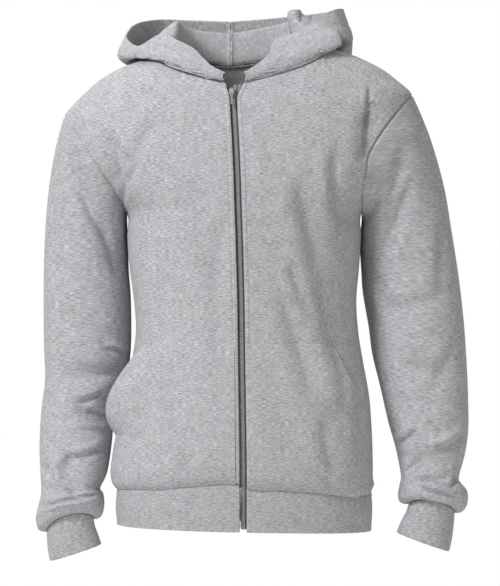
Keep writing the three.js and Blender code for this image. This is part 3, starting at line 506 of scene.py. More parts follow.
def stitchLine(points, normals):
    # starts, ends and normals of the stitches along a line of points on the cloth
    run = np.concatenate([[0], np.cumsum(np.linalg.norm(np.diff(points, axis=0), axis=-1))])
    starts = np.arange(sewing["pitch"] / 2, run[-1] - sewing["length"], sewing["pitch"])

    def at(values, where):
        return np.stack([np.interp(where, run, values[:, k]) for k in range(3)], -1)

    return (at(points, starts), at(points, starts + sewing["length"]),
            unit(at(normals, starts + sewing["length"] / 2)))


def lineOnGrid(grid, normals, distance, at):
    # the line on a grid where a distance field along its rows has one value
    rows = np.arange(len(grid))
    column = np.array([np.interp(at, distance[i], np.arange(grid.shape[1])) for i in rows])
    low = np.clip(column.astype(int), 0, grid.shape[1] - 2)
    share = (column - low)[:, None]
    points = grid[rows, low] * (1 - share) + grid[rows, low + 1] * share
    ways = normals[rows, low] * (1 - share) + normals[rows, low + 1] * share
    return points, unit(ways)


seams = []  # stitch lines gathered from the pieces, sewn as one mesh at the end


def sew(grid, normals, distance, at, keep=None):
    points, ways = lineOnGrid(grid, normals, distance, at)
    if keep is not None:
        points, ways = points[keep], ways[keep]
    seams.append(stitchLine(points, ways))


# Fronts and back

front = {
    "stitchAt": 6.2,  # topstitching beside the zip
    "edgeRise": 0.7,  # the folded edge between stitching and zip stands a little proud
    "ways": 260,
    "near": (0.0, 0.5, 1.1, 1.9, 2.9, 4.0, 5.0, 5.6, 6.2, 6.8, 7.5, 8.6, 10.4, 13.0),
}


def edgeDrop(*distances):
    return body["edgeDrop"] * sum(np.exp(-((d / body["edgeReach"]) ** 2)) for d in distances)


def frontCloth(side):
    place, _ = frontPlace(side)
    fine = np.linspace(0, 1, front["ways"])
    shares = gradedSteps(190.0, body["columnStep"], front["near"])
    ways = respaced(place, fine, shares)
    angle, z = place(ways)
    grid = panelPoint(angle, z)
    sign = sides[side]["sign"]
    fromZip, fromHem = runs(grid, 1), runs(grid, 0)
    toSide, toTop = fromZip[:, -1:] - fromZip, fromHem[-1:] - fromHem
    normals = torsoNormal(angle, z)
    drop = edgeDrop(toSide, toTop, fromHem)
    drop += sewing["groove"] * nearLine(fromZip, front["stitchAt"], sewing["grooveWidth"])
    drop -= front["edgeRise"] * nearLine(fromZip, front["stitchAt"] / 2, front["stitchAt"] / 3)
    seed = 1 if side == "left" else 4
    drop += sewing["pucker"] * wander(z, seed, 26.0) * np.exp(-((fromZip / 13) ** 2))
    drop += 0.5 * wander(fromZip, seed + 2, 38.0) * np.exp(-((fromHem / 14) ** 2))
    drop -= body["blouse"] * np.exp(-(((fromHem - 8) / 5) ** 2))
    grid = sunk(grid, normals, drop)
    uv = np.stack([sign * fromZip, grid[..., 2]], -1)
    if side == "right":
        uv[..., 0] -= 60
    sew(grid, normals, fromZip, front["stitchAt"])
    return clothMesh("front" + side.title(), grid, body["wall"] - 0.4, uv=uv, flip=sign, normals=normals)


def backCloth():
    place = backPlace()
    fine = np.linspace(0, 1, 2 * front["ways"])
    shares = gradedSteps(400.0, body["columnStep"] * 1.2)
    ways = respaced(place, fine, shares)
    angle, z = place(ways)
    grid = panelPoint(angle, z)
    across, fromHem = runs(grid, 1), runs(grid, 0)
    toTop, toSide = fromHem[-1:] - fromHem, across[:, -1:] - across
    drop = edgeDrop(across, toSide, toTop, fromHem)
    drop += 0.5 * wander(across, 7, 38.0) * np.exp(-((fromHem / 14) ** 2))
    drop -= body["blouse"] * np.exp(-(((fromHem - 8) / 5) ** 2))
    normals = torsoNormal(angle, z)
    grid = sunk(grid, normals, drop)
    uv = np.stack([across - across[:, -1:] / 2 + 900, grid[..., 2]], -1)
    return clothMesh("backPanel", grid, body["wall"] - 0.4, uv=uv, normals=normals)


# Sleeves and cuffs

sleeveNames = "outX outZ inX inZ y deep"
sleeveSections = {
    "right": table(sleeveNames, [
        (-259, -112, -161.4, -226, 14, 75),
        (-268, -155, -160.8, -245, 20, 73),
        (-275, -210, -160.4, -266, 25, 70),
        (-278.5, -270, -159.5, -296, 27, 66),
        (-279.5, -335, -156.5, -338, 27, 62),
        (-279, -402, -156.5, -402, 27, 58),
        (-277.5, -447, -163, -447, 27, 55),
        (-282.5, -490, -179, -490, 26, 52),
        (-285, -540, -183, -535, 22, 50),
        (-283, -582, -189.5, -578, 16, 46),
        (-282, -607, -199, -600, 12, 43),
        (-285, -622, -195, -607, 10, 48),
        (-289, -642, -193, -622, 8, 50),
        (-286, -657, -196, -637, 7, 46),
        (-280, -660.5, -202, -643, 6, 40),
        (-274, -661, -207.5, -643.5, 6, 35),
    ]),
    "left": table(sleeveNames, [
        (253, -80, 168, -226, 14, 78),
        (269, -122, 166.6, -244, 20, 76),
        (285, -180, 166.2, -265, 25, 72),
        (296, -245, 167.8, -294, 25, 69),
        (305, -305, 170, -326, 23, 66),
        (311.5, -364, 178, -374, 19, 63),
        (315, -414, 183, -412, 16, 60),
        (317, -465, 194.5, -460, 11, 56),
        (317, -515, 205, -507, 4, 53),
        (312, -550, 215, -543, -2, 49),
        (303, -583, 222, -580, -8, 44),
        (306, -592, 220.5, -592, -10, 46),
        (314.5, -604, 218, -606, -12, 50),
        (314, -622, 219, -616, -13, 50),
        (306, -632, 225, -620.5, -14, 43),
        (297, -633, 232, -621, -14, 36),
    ]),
}
cuffSections = {
    "right": table(sleeveNames, [
        (-273.6, -661.9, -207.8, -644.4, 6, 34.6),
        (-273, -672, -206, -653, 5, 34),
        (-271, -686, -202, -665, 4, 33),
        (-268.5, -700, -197.5, -677, 2, 32.5),
    ]),
    "left": table(sleeveNames, [
        (296.6, -633.9, 232.3, -621.9, -14, 35.6),
        (295.5, -645, 228.5, -632, -15, 35),
        (292.5, -664, 222, -645, -16, 34),
        (288.5, -685, 216, -659, -18, 33),
    ]),
}
sleeveFolds = {
    "right": (
        table(foldNames, [
            (-238, -151, -174, -300, 15, 6, 0.3, 0),
            (-252, -352, -172, -404, 13, 5, 0.2, 0),
            (-250, -446, -172, -438, 12, 5, 0.2, 0),
            (-232, -488, -186, -506, 12, 4, 0.2, 0),
            (-246, -548, -232, -602, 13, 5, 0.2, 0),
            (-226, -178, -178, -262, 7, 3.5, 0.6, 4),
            (-196, -232, -172, -300, 7, 3.5, 0.5, -3),
            (-160, -412, -190, -404, 4, 3.4, 0.6, 1),
            (-188, -446, -228, -420, 8, 3.6, 0.6, -3),
            (-196, -466, -230, -478, 4, 3.6, 0.8, -1),
            (-186, -498, -216, -492, 5, 3.6, 0.6, 2),
            (-184, -520, -232, -517, 4, 2.0, 0.7, 1),
            (-190, -538, -242, -556, 5, 4.2, 0.8, -4),
            (-240, -552, -246, -598, 7, 3.4, 0.5, 5),
            (-276, -564, -268, -586, 6, 3.0, 0.2, 0),
            (-244, -599, -200, -608, 3.2, 5.0, 0.7, 3),
            (-280, -625, -212, -611, 3.2, 6.5, 0.6, -4),
            (-262, -230, -256, -330, 9, 1.6, 0.5, 4),
            (-270, -470, -252, -520, 9, 1.8, 0.5, 3),
        ]),
        table(foldNames, [
            (-250, -180, -182, -310, 15, 6, 0.2, 0),
            (-262, -400, -180, -420, 13, 5, 0.3, 0),
            (-260, -470, -190, -452, 13, 5, 0.3, 0),
            (-256, -372, -190, -392, 7, 2.6, 0.6, 3),
            (-264, -432, -196, -440, 7, 2.6, 0.6, -3),
            (-262, -516, -206, -494, 8, 2.6, 0.6, 4),
            (-264, -560, -214, -580, 7, 2.4, 0.6, 2),
            (-277, -630, -214, -612, 4, 3.6, 0.5, -2),
        ]),
    ),
    "left": (
        table(foldNames, [
            (222, -110, 205, -235, 14, 6, 0.2, 0),
            (286, -330, 196, -352, 14, 4, 0.2, 0),
            (296, -438, 214, -424, 13, 4, 0.2, 0),
            (300, -546, 226, -560, 13, 5, 0.2, 0),
            (236, -170, 196, -262, 8, 3.4, 0.5, -3),
            (186, -300, 224, -372, 8, 2.8, 0.5, 4),
            (280, -521, 258, -504, 7, 3.2, 0.5, 2),
            (249, -556, 228, -574, 5, 3.8, 0.5, 1),
            (298, -566, 292, -592, 4.5, 4.6, 0.5, -3),
            (242, -583, 306, -600, 3.6, 6.5, 0.8, -3),
            (246, -596, 296, -609, 3.8, 6.0, 0.5, 2),
            (242, -514, 214, -537, 4.5, 4.4, 0.7, -2),
            (312, -517, 268, -543, 6, 4.6, 0.8, -6),
            (290, -210, 276, -330, 10, 2.4, 0.5, 5),
            (300, -400, 262, -470, 10, 2.4, 0.5, 4),
        ]),
        table(foldNames, [
            (240, -150, 190, -290, 15, 6, 0.2, 0),
            (300, -392, 200, -372, 14, 5, 0.3, 0),
            (304, -470, 216, -444, 14, 5, 0.3, 0),
            (296, -352, 210, -340, 7, 2.6, 0.6, -3),
            (304, -430, 214, -412, 7, 2.6, 0.6, 3),
            (300, -508, 236, -486, 8, 2.6, 0.6, 3),
            (302, -560, 240, -540, 7, 2.6, 0.6, -2),
            (238, -590, 310, -606, 4, 3.6, 0.5, 3),
        ]),
    ),
}
sleeve = {"crown": 2.15, "round": 140, "step": 2.6, "seamDrop": 1.0,
          "lift": {"right": 18.0, "left": 14.0}}  # how far the end rides up at the front
cuffs = {"wall": 2.2, "ribs": 84, "ribDeep": 0.2, "rows": 26, "hemAt": 2.2}


def tubeRings(tab, turns):
    # superellipse ring leaning between its outermost and innermost points
    c = power(np.cos(turns), 2 / sleeve["crown"])[None]
    s = power(np.sin(turns), 2 / sleeve["crown"])[None]
    outX, outZ, inX, inZ, y, deep = (v[:, None] for v in tab.values())
    return np.stack([mix(inX, outX, (1 + c) / 2), y + deep * s, mix(inZ, outZ, (1 + c) / 2)], -1)


def betweenRings(rings, at):
    # the same cubic steps as the tables, through whole rings
    i = np.clip(at.astype(int), 0, len(rings) - 2)
    u = (at - i)[:, None, None]
    slope = np.gradient(rings, axis=0)
    return ((1 + 2 * u) * (1 - u) ** 2 * rings[i] + u * (1 - u) ** 2 * slope[i]
            + u * u * (3 - 2 * u) * rings[i + 1] + u * u * (u - 1) * slope[i + 1])


def ringSteps(rings, step):
    half = rings.shape[1] // 2
    far = np.linalg.norm(np.diff(rings, axis=0), axis=-1)
    run = np.concatenate([[0], np.cumsum((far[:, 0] + far[:, half]) / 2)])
    return np.interp(gradedSteps(run[-1], step) * run[-1], run, np.arange(len(rings)))


def endLift(side, turns):
    return sleeve["lift"][side] * np.maximum(0, -np.sin(turns)) ** 1.1


def sleeveCloth(side):
    sign = sides[side]["sign"]
    turns = np.linspace(-pi, pi, sleeve["round"] + 1)[:-1]
    seamAngle, seamZ = armhole(side, turns)
    rings = np.concatenate([torsoOuter(seamAngle, seamZ)[None], tubeRings(sleeveSections[side], turns)])
    at = ringSteps(rings, sleeve["step"])
    grid = betweenRings(rings, at)
    along = runs(np.concatenate([grid, grid[:, :1]], 1), 0)
    last = len(rings) - 1
    grid[..., 2] += endLift(side, turns) * smooth((at[:, None] - last + 6) / 4)
    atFront, atBack = (foldDepth(f, grid[..., 0], grid[..., 2]) for f in sleeveFolds[side])
    facing = smooth(np.abs(np.sin(turns)) / 0.5)[None]
    depth = smooth(at / 1.5)[:, None] * facing * np.where(np.sin(turns) < 0, atFront, atBack)
    under = np.minimum(turns + pi, pi - turns) * 52
    depth += sleeve["seamDrop"] * nearLine(under, 0, 1.8)[None]
    grid = sunk(grid, gridNormals(grid, True) * -sign, depth)
    fromSeam = runs(grid, 0)
    drop = body["edgeDrop"] * np.exp(-((fromSeam / body["edgeReach"]) ** 2))
    grid = sunk(grid, torsoNormal(seamAngle, seamZ)[None], drop)
    closed = np.concatenate([grid, grid[:, :1]], 1)
    around = runs(closed[-40:], 1).mean(0)
    across = (around - around[-1] / 2)[None] + 0 * along
    uv = np.stack([across, along[-1:] - along + 400 * sign], -1)
    return clothMesh("sleeve" + side.title(), grid, body["wall"] - 0.4, True, uv, -sign)


def cuffCloth(side):
    sign = sides[side]["sign"]
    turns = np.linspace(-pi, pi, 4 * cuffs["ribs"] + 1)[:-1]
    rings = tubeRings(cuffSections[side], turns)
    at = np.linspace(0, len(rings) - 1, cuffs["rows"])
    grid = betweenRings(rings, at)
    normals = gridNormals(grid, True) * -sign
    v = at[:, None] / (len(rings) - 1)
    drop = cuffs["ribDeep"] * (1 - np.cos(turns * cuffs["ribs"])) / 2 * smooth(v / 0.12) * smooth((1 - v) / 0.05)
    drop = drop + 0.8 * wander(turns, 2, 2.6) * smooth(v) * 0.5
    drop = drop - 1.2 * np.exp(-(((v - 0.72) / 0.3) ** 2)) * (0.6 + 0.4 * np.cos(turns + 1))
    grid = sunk(grid, normals, drop)
    grid[..., 2] += endLift(side, turns) * (1 - v) ** 1.5
    return clothMesh("cuff" + side.title(), grid, cuffs["wall"], True, flip=-sign)


# Hem band

def hemBandCloth():
    def stop(side):
        sign = sides[side]["sign"]
        level = hem["top"][0]
        return sign * angleAt(size("mid", level) + sign * zipEdge(side, level), level, sign)

    start, end = stop("left"), 2 * pi + stop("right")
    fine = np.linspace(start, end, 6000)
    ring = torsoBase(fine, bottomZ)
    run = np.concatenate([[0], np.cumsum(np.linalg.norm(np.diff(ring, axis=0), axis=-1))])
    near = np.array(front["near"])
    ribStep = run[-1] / (4 * hem["ribs"])
    even = np.arange(near[-1], run[-1] - near[-1], ribStep)
    where = np.concatenate([near[:-1], even, (run[-1] - near)[::-1]])
    angle = np.interp(where, run, fine)[None]
    v = np.concatenate([[0, 0.01, 0.03], np.linspace(0.07, 0.93, 14), [0.97, 0.99, 1.0]])[:, None]
    low, high = tilted(hem["bottom"], angle), hemTop(angle) + 0.8
    out = np.stack([np.sin(angle), -np.cos(angle), 0 * angle], -1)
    proud = hem["proud"] - hem["drawnIn"] * np.sin(pi / 2 * (1 - v))
    proud = proud - 3.2 * np.exp(-((1 - v) / 0.09) ** 2)
    proud = proud - 1.3 * np.exp(-(((v - 0.8) / 0.1) ** 2)) * (0.7 + 0.3 * wander(angle, 3, 1.9))
    proud = proud + 0.8 * np.exp(-(((v - 0.4) / 0.22) ** 2)) * (1 + wander(angle, 5, 1.3))
    ends = np.minimum(where, run[-1] - where)[None]
    ribs = hem["ribDeep"] * (1 - np.cos(2 * pi * where / (4 * ribStep))) / 2
    proud = proud - ribs[None] * smooth((ends - 9) / 6) * smooth((1 - v) / 0.06) * smooth(v / 0.04)
    proud = proud - sewing["groove"] * nearLine(ends, front["stitchAt"], sewing["grooveWidth"])
    grid = torsoBase(angle, bottomZ) + out * proud[..., None]
    grid[..., 2] = mix(low, high, v)
    uv = np.stack([where[None] + 0 * v, grid[..., 2] + 300], -1)
    normals = gridNormals(grid)
    sew(grid, normals, where[None] + 0 * v, front["stitchAt"])
    sew(grid, normals, where[None] + 0 * v, run[-1] - front["stitchAt"])
    return clothMesh("hemBand", grid, hem["wall"], uv=uv)


# Pockets

pockets = {
    "right": {"topZ": -392.0, "lowZ": -530.0, "topAngle": 60, "lowAngle": 80, "out": 27.0, "forward": 11.0},
    "left": {"topZ": -396.0, "lowZ": -490.0, "topAngle": 48, "lowAngle": 60, "out": 5.0, "forward": 6.0},
}
pocketCloth = {"wall": 1.2, "gap": 0.35, "stand": 0.75, "reach": 0.42, "widest": 0.8, "fullness": 1.2,
               "edge": 0.012, "columns": 70, "steps": 10, "hemAt": (3.0, 14.0), "fade": 14.0}


def pocketPiece(side):
    q, c = pockets[side], pocketCloth
    sign = sides[side]["sign"]
    place, edgeZ = frontPlace(side)
    rows = edgeZ[:, 0] < q["topZ"]
    z = np.append(edgeZ[rows, 0], q["topZ"])[:, None]
    t = np.clip((z - q["lowZ"]) / (q["topZ"] - q["lowZ"]), 0, 1)
    edge = mix(q["lowAngle"], q["topAngle"], t) / 90
    share = gradedSteps(150.0, 2.6)[None]
    u = mix(c["edge"], edge, share)
    start = sign * angleAt(size("mid", z) + sign * zipEdge(side, z), z, sign)
    angle = mix(start, sign * pi / 2, u)
    level = z + 0 * u
    base = panelPoint(angle, level)
    normals = gridNormals(base) * sign
    first = math.floor(q["topAngle"] / 90 * c["steps"] - 0.4) / c["steps"]
    opened = np.sin(pi * t ** c["widest"]) ** c["fullness"]
    lift = opened * smooth((u - edge) / c["reach"] + 1)
    fromTop = (z[-1] - z) + 0 * u
    stand = c["gap"] + c["stand"] * smooth((u - first) * c["steps"]) + c["wall"]
    stand = 0.5 + (stand - 0.5) * smooth(fromTop / c["fade"])
    grid = base + normals * stand[..., None]
    grid = grid + lift[..., None] * np.array([sign * q["out"], -q["forward"], 0.0])
    across = runs(grid, 1)
    toMouth = across[:, -1:] - across
    onMouth = smooth((t - 0.02) / 0.05) * smooth((0.99 - t) / 0.03)
    normals = gridNormals(grid) * sign
    grooves = sum(nearLine(toMouth, at, sewing["grooveWidth"]) for at in c["hemAt"])
    grid = sunk(grid, normals, sewing["groove"] * grooves * onMouth)
    uv = np.stack([sign * across - (60 if side == "right" else 0) + sign * 2.2, level], -1)
    keep = onMouth[:, 0] > 0.5
    for at in c["hemAt"]:
        sew(grid, normals, -toMouth, -at, keep)
    tacks(grid, normals, toMouth, np.flatnonzero(keep)[[0, -1]])
    return clothMesh("pocket" + side.title(), grid, c["wall"] - 0.3, uv=uv, flip=sign)


def tacks(grid, normals, toMouth, ends):
    # bar tacks: a dozen short threads side by side across each end of the mouth
    for row in ends:
        for at in np.linspace(2.0, 11.0, 15):
            column = np.argmin(np.abs(toMouth[row] - at))
            point, way = grid[row, column], normals[row, column]
            up = unit(grid[row + 1, column] - grid[row - 1, column])
            seams.append((point[None] - up * 1.4, point[None] + up * 1.4, way[None]))


# Zip

zipDetail = {"toothPitch": 2.6, "tooth": (1.5, 1.3, 1.2), "chainDeep": 1.2, "rowStep": 4.0}


def stripGrid(side, start, end, depth, lowZ, highZ, columns, spread):
    z = np.arange(lowZ, highZ, zipDetail["rowStep"])
    z = np.append(z, highZ)[:, None]
    level = np.maximum(z, bottomZ)
    u = np.linspace(0, 1, columns)[None]
    x = mix(start, end, u) + spread(level) * (1 - u)
    sign = np.where(x < 0, -1, 1)
    wide = np.where(x < 0, size("right", level), size("left", level))
    angle = sign * np.arcsin(np.clip(np.abs(x) / wide, 0, 1) ** (body["crown"] / 2))
    point = panelPoint(angle, level)
    out = torsoNormal(angle, level)
    out[z[:, 0] <= bottomZ, :, 2] = 0
    out = unit(out)
    point = point - out * depth
    below = z[:, 0] < bottomZ
    point[below, :, 2] = z[below]
    return point


def zipOpen(level):
    return smooth((level - zipLine["opensZ"]) / (body["neckFrontZ"] - zipLine["opensZ"]))


def tapePiece(side):
    sign = sides[side]["sign"]
    far = zipLine["tapeShown"] if side == "left" else zipLine["tapeHidden"]
    columns = 41 if side == "left" else 9
    depth = zipLine["tapeDepth"]
    if side == "left":
        at, wide, deep = zipLine["tapeGroove"]
        u = np.linspace(zipLine["tapeInner"], far, columns)
        depth = depth + deep * np.exp(-(((u - at) / wide) ** 2))[None, :, None]
    grid = stripGrid(side, sign * zipLine["tapeInner"], sign * far, depth, zipLine["lowZ"],
                     body["neckFrontZ"] - 2, columns,
                     lambda level: sign * zipLine["tapeSpread"] * zipOpen(level))
    return clothMesh("zipTape" + side.title(), grid, zipLine["tapeWall"], flip=sign)


def teethPiece(topZ):
    # alternate teeth down the zip line, and along the two tape edges above the slider
    z = np.arange(zipLine["lowZ"] + 2, body["neckFrontZ"] - 4, zipDetail["toothPitch"] / 2)
    turn = np.where(np.arange(len(z)) % 2 == 0, -1.0, 1.0)
    level = np.maximum(z, bottomZ)
    apart = np.where(z > topZ, 2.2 * zipOpen(level) + 1.2, 0.55)
    x = turn * apart + 0.1
    wide = np.where(x < 0, size("right", level), size("left", level))
    angle = turn * np.arcsin(np.clip(np.abs(x) / wide, 0, 1) ** (body["crown"] / 2))
    centre = panelPoint(angle, level) + np.array([0, zipDetail["chainDeep"] + 0.5, 0])
    centre[:, 2] = np.where(z < bottomZ, z, centre[:, 2])
    keep = (z < topZ - 0.5) | (z > topZ + 12.5)
    centre, turn = centre[keep], turn[keep]
    w, d, h = zipDetail["tooth"]
    corner = np.array([(-1, -1, -1), (1, -1, -1), (1, 1, -1), (-1, 1, -1),
                       (-0.7, -0.6, 1), (0.7, -0.6, 1), (0.7, 0.6, 1), (-0.7, 0.6, 1)]) / 2
    # local axes: across the zip, along it, out of the cloth
    local = np.stack([corner[:, 0] * w, -corner[:, 2] * d, corner[:, 1] * h], -1)
    points = centre[:, None] + local[None]
    faces = np.array([(0, 3, 2, 1), (4, 5, 6, 7), (0, 1, 5, 4), (1, 2, 6, 5), (2, 3, 7, 6), (3, 0, 4, 7)])
    faces = (faces[None] + np.arange(len(centre))[:, None, None] * 8).reshape(-1, 4)
    piece = meshPiece("zipTeeth", points.reshape(-1, 3), faces)
    bevel = piece.modifiers.new("rounded", "BEVEL")
    bevel.width = 0.0002
    bevel.segments = 1
    return piece


# Hood

hoodNames = "s bearing rollOut rollUp fallOut fallUp footOut footUp sideOut sideUp edgeOut edgeUp"
hoodTable = {
    "right": table(hoodNames, [
        (0.0, 85, 0.5, 3, 0.8, 6, 0.5, 8, -0.5, 10, -2, 11),
        (0.05, 85, 1, 4, 1.5, 7, 1, 10, -3, 13, -11, 15),
        (0.1, 85, 2, 4, 4, 7, 3.5, 11, -5, 16, -24, 18),
        (0.18, 85, 3, 4, 7, 5, 7, 10, -4, 19, -33, 24),
        (0.28, 80, 6, 4, 17, -2, 20, 2, 12, 16, -17, 27),
        (0.38, 75, 4, 9, 22, 2, 37, -9, 36, 6, 8, 26),
        (0.46, 78, -1, 22, 16, 14, 46, -13, 54, -4, 30, 16),
        (0.52, 84, -3, 36, 14, 28, 54, -14, 70, -8, 50, 6),
        (0.6, 92, -3, 43, 16, 26, 58, -18, 80, -4, 68, 20),
        (0.7, 106, 0, 46, 24, 12, 56, -26, 80, -2, 70, 41),
        (0.85, 138, 5, 46, 26, -26, 62, -124, 94, -44, 77, 63),
        (0.93, 160, 5, 46, 26, -44, 64, -162, 96, -70, 75, 67),
        (1.0, 180, 5, 47, 26, -50, 64, -174, 96, -78, 74, 69),
    ]),
    "left": table(hoodNames, [
        (0.0, 85, 0.5, 3, 0.8, 6, 0.5, 8, -0.5, 10, -2, 11),
        (0.05, 85, 1.5, 4, 2.5, 7, 1.5, 11, -4, 14, -14, 17),
        (0.1, 85, 2, 4, 4, 8, 3, 12, -8, 18, -29, 21),
        (0.18, 82, 2.5, 5, 5, 9, 4, 14, -14, 23, -52, 29),
        (0.28, 80, 6, 5, 15, 4, 20, 9, 6, 22, -43, 26),
        (0.38, 78, 4, 9, 22, 5, 36, 2, 33, 17, -8, 29),
        (0.48, 82, -6, 26, 10, 20, 38, 2, 52, 10, 22, 35),
        (0.55, 88, -13, 42, 13, 33, 42, 4, 68, 4, 50, 45),
        (0.62, 97, -8, 47, 22, 28, 48, -6, 75, 4, 60, 50),
        (0.7, 106, -3, 48, 26, 18, 54, -18, 77, 6, 64, 55),
        (0.85, 138, 2, 50, 26, -24, 62, -124, 94, -42, 76, 66),
        (0.93, 160, 4, 49, 26, -44, 64, -162, 96, -69, 75, 68),
        (1.0, 180, 5, 47, 26, -50, 64, -174, 96, -78, 74, 69),
    ]),
}
hood = {"wall": 2.4, "above": 1.6, "clear": 4.6, "past": 2.5, "straight": 6.0, "straightShare": 0.3,
        "hemAt": (20.0, 25.0), "hemDeep": 1.8, "seamDrop": 3.0}


def neckSeam(side, s):
    q = sides[side]
    share = body["neckFrontShare"]
    atFront = s < share
    u = np.where(atFront, s / share, (1 - s) / (1 - share))
    z = mix(np.where(atFront, body["neckFrontZ"], body["neckBackZ"]), q["napeZ"], np.sin(u * pi / 2))
    start = angleAt(size("mid", z) + q["sign"] * zipEdge(side, z), z, q["sign"])
    angle = q["sign"] * np.where(atFront, mix(start, pi / 2, u), pi - u * pi / 2)
    point = torsoOuter(angle, z) - torsoNormal(angle, z) * body["wall"] / 2
    up = unit(torsoBase(angle, z + 1) - torsoBase(angle, z))
    return point + up * hood["above"], up


def clearOfTorso(points, need):
    # moves points out along the torso's own slope until they stand clear of the cloth there
    def reach(p):
        z = np.minimum(p[..., 2], torso["z"][-1])
        x = p[..., 0] - size("mid", z)
        wide = np.where(x < 0, size("right", z), size("left", z))
        deep = np.where(p[..., 1] < 0, size("front", z), size("back", z))
        k = body["crown"]
        return (np.abs(x / wide) ** k + np.abs(p[..., 1] / deep) ** k) ** (1 / k) - 1

    for _ in range(4):
        here = reach(points)
        slope = np.stack([reach(points + step) - here for step in np.eye(3)], -1)
        steep = np.linalg.norm(slope, axis=-1)
        short = np.maximum(need - here / np.maximum(steep, 1e-9), 0)
        points = points + unit(slope) * short[..., None]
    return points


def curveThrough(knots, v):
    # curve through each row's knots whose speed follows the square root of the gaps, ends carried on
    first = 2 * knots[:, :1] - knots[:, 1:2]
    last = 2 * knots[:, -1:] - knots[:, -2:-1]
    p = np.concatenate([first, knots, last], 1)
    pieces = knots.shape[1] - 1
    at = v * pieces
    i = np.clip(at.astype(int), 0, pieces - 1)
    t = (at - i)[None, :, None]
    p0, p1, p2, p3 = (p[:, i + k] for k in range(4))
    g0, g1, g2 = (np.sqrt(np.maximum(np.linalg.norm(b - a, axis=-1, keepdims=True), 1e-6))
                  for a, b in ((p0, p1), (p1, p2), (p2, p3)))
    m1 = ((p1 - p0) / g0 - (p2 - p0) / (g0 + g1) + (p2 - p1) / g1) * g1
    m2 = ((p2 - p1) / g1 - (p3 - p1) / (g1 + g2) + (p3 - p2) / g2) * g1
    a = p1
    c = -3 * p1 + 3 * p2 - 2 * m1 - m2
    d = 2 * p1 - 2 * p2 + m1 + m2
    return a + m1 * t + c * t * t + d * t * t * t


def hoodHalf(side):
    q, tab = sides[side], hoodTable[side]
    s = mix(0.004, 1, gradedSteps(330.0, 3.6))
    point, up = neckSeam(side, s)
    bearing = np.radians(through(tab, "s", "bearing", s))
    out = np.stack([q["sign"] * np.sin(bearing), -np.cos(bearing), 0 * bearing], -1)
    knots = [point]
    for name in ("roll", "fall", "foot", "side", "edge"):
        knot = point + out * through(tab, "s", name + "Out", s)[:, None]
        knot[:, 2] = point[:, 2] + through(tab, "s", name + "Up", s)
        knots.append(knot)
    lifted = np.minimum(np.linalg.norm(knots[1] - point, axis=-1) * hood["straightShare"], hood["straight"])
    knots.insert(1, point + up * lifted[:, None])
    v = gradedSteps(300.0, 3.2)
    grid = curveThrough(np.stack(knots, 1), v)
    far = ((grid - point[:, None]) * out[:, None]).sum(-1) - through(tab, "s", "rollOut", s)[:, None]
    outside = ((v > 0)[None] & (far > hood["past"]))[..., None]
    grid = np.where(outside, clearOfTorso(grid, hood["wall"] / 2 + hood["clear"]), grid)
    middle = torso["mid"][-1]
    grid[-1, :, 0] = middle
    normals = gridNormals(grid) * -q["sign"]
    normals[-1, :, 0] = 0
    normals = unit(normals)
    across, along = runs(grid, 1), runs(grid, 0)
    toEdge, toSeam = across[:, -1:] - across, along[-1:] - along
    grooves = sum(nearLine(toEdge, at, 1.1) for at in hood["hemAt"])
    drop = hood["hemDeep"] * grooves + hood["seamDrop"] * np.exp(-((toSeam / 2.4) ** 2))
    drop = drop + 0.5 * wander(along, 3, 42.0) * nearLine(toEdge, 10, 14)
    drop = drop + 0.4 * wander(along, 6, 30.0) * np.exp(-((across / 12) ** 2))
    grid = grid + normals * hood["wall"] / 2
    grid = sunk(grid, normals, drop)
    normals = gridNormals(grid) * -q["sign"]
    for at in hood["hemAt"]:
        sew(grid, normals, -toEdge, -at)
    return clothMesh("hood" + side.title(), grid, hood["wall"], flip=-q["sign"])


# Finishes

knit = {
    "fleckLong": 0.0062,
    "fleckHigh": 0.0011,
    "mottle": 0.022,
    "wale": 0.0012,
    "course": 0.0009,
    "yarnHeight": 0.00012,
}
looks = {
    "fleece": {"dark": (0.26, 0.26, 0.273), "light": (0.64, 0.64, 0.664), "rough": 0.92, "sheen": 0.04},
    "rib": {"dark": (0.25, 0.25, 0.262), "light": (0.58, 0.58, 0.602), "rough": 0.92, "sheen": 0.04},
    "tape": {"dark": (0.17, 0.17, 0.175), "light": (0.30, 0.30, 0.31), "rough": 0.8, "sheen": 0.05},
    "thread": {"dark": (0.36, 0.36, 0.37), "light": (0.52, 0.52, 0.54), "rough": 0.7, "sheen": 0.1},
    # teeth: near-black is painted shade, the colour of the deep shadow between the front edges rather than of
    # the metal
    "teeth": (0.018, 0.018, 0.02),
    "metal": (0.80, 0.80, 0.79),
}


class Graph:
    # short names for adding nodes and joining them
    def __init__(self, tree):
        self.tree = tree

    def node(self, kind, settings=(), **sockets):
        made = self.tree.nodes.new(kind)
        for name, value in dict(settings).items():
            setattr(made, name, value)
        for name, value in sockets.items():
            key = int(name[1:]) if name[0] == "i" and name[1:].isdigit() else name.replace("_", " ")
            if isinstance(value, bpy.types.NodeSocket):
                self.tree.links.new(value, made.inputs[key])
            else:
                made.inputs[key].default_value = value
        return made

    def math(self, how, a, b=0.5, c=0.5):
        return self.node("ShaderNodeMath", {"operation": how}, i0=a, i1=b, i2=c).outputs[0]

    def noise(self, at, scale, detail=2.0, offset=(0, 0, 0)):
        placed = self.node("ShaderNodeMapping", Vector=at, Scale=scale, Location=offset).outputs[0]
        return self.node("ShaderNodeTexNoise", Vector=placed, Scale=1.0, Detail=detail).outputs[0]

    def ranged(self, value, low, high, toLow=0.0, toHigh=1.0):
        return self.node("ShaderNodeMapRange", {"interpolation_type": "SMOOTHSTEP"}, Value=value, i1=low,
                         i2=high, i3=toLow, i4=toHigh).outputs[0]


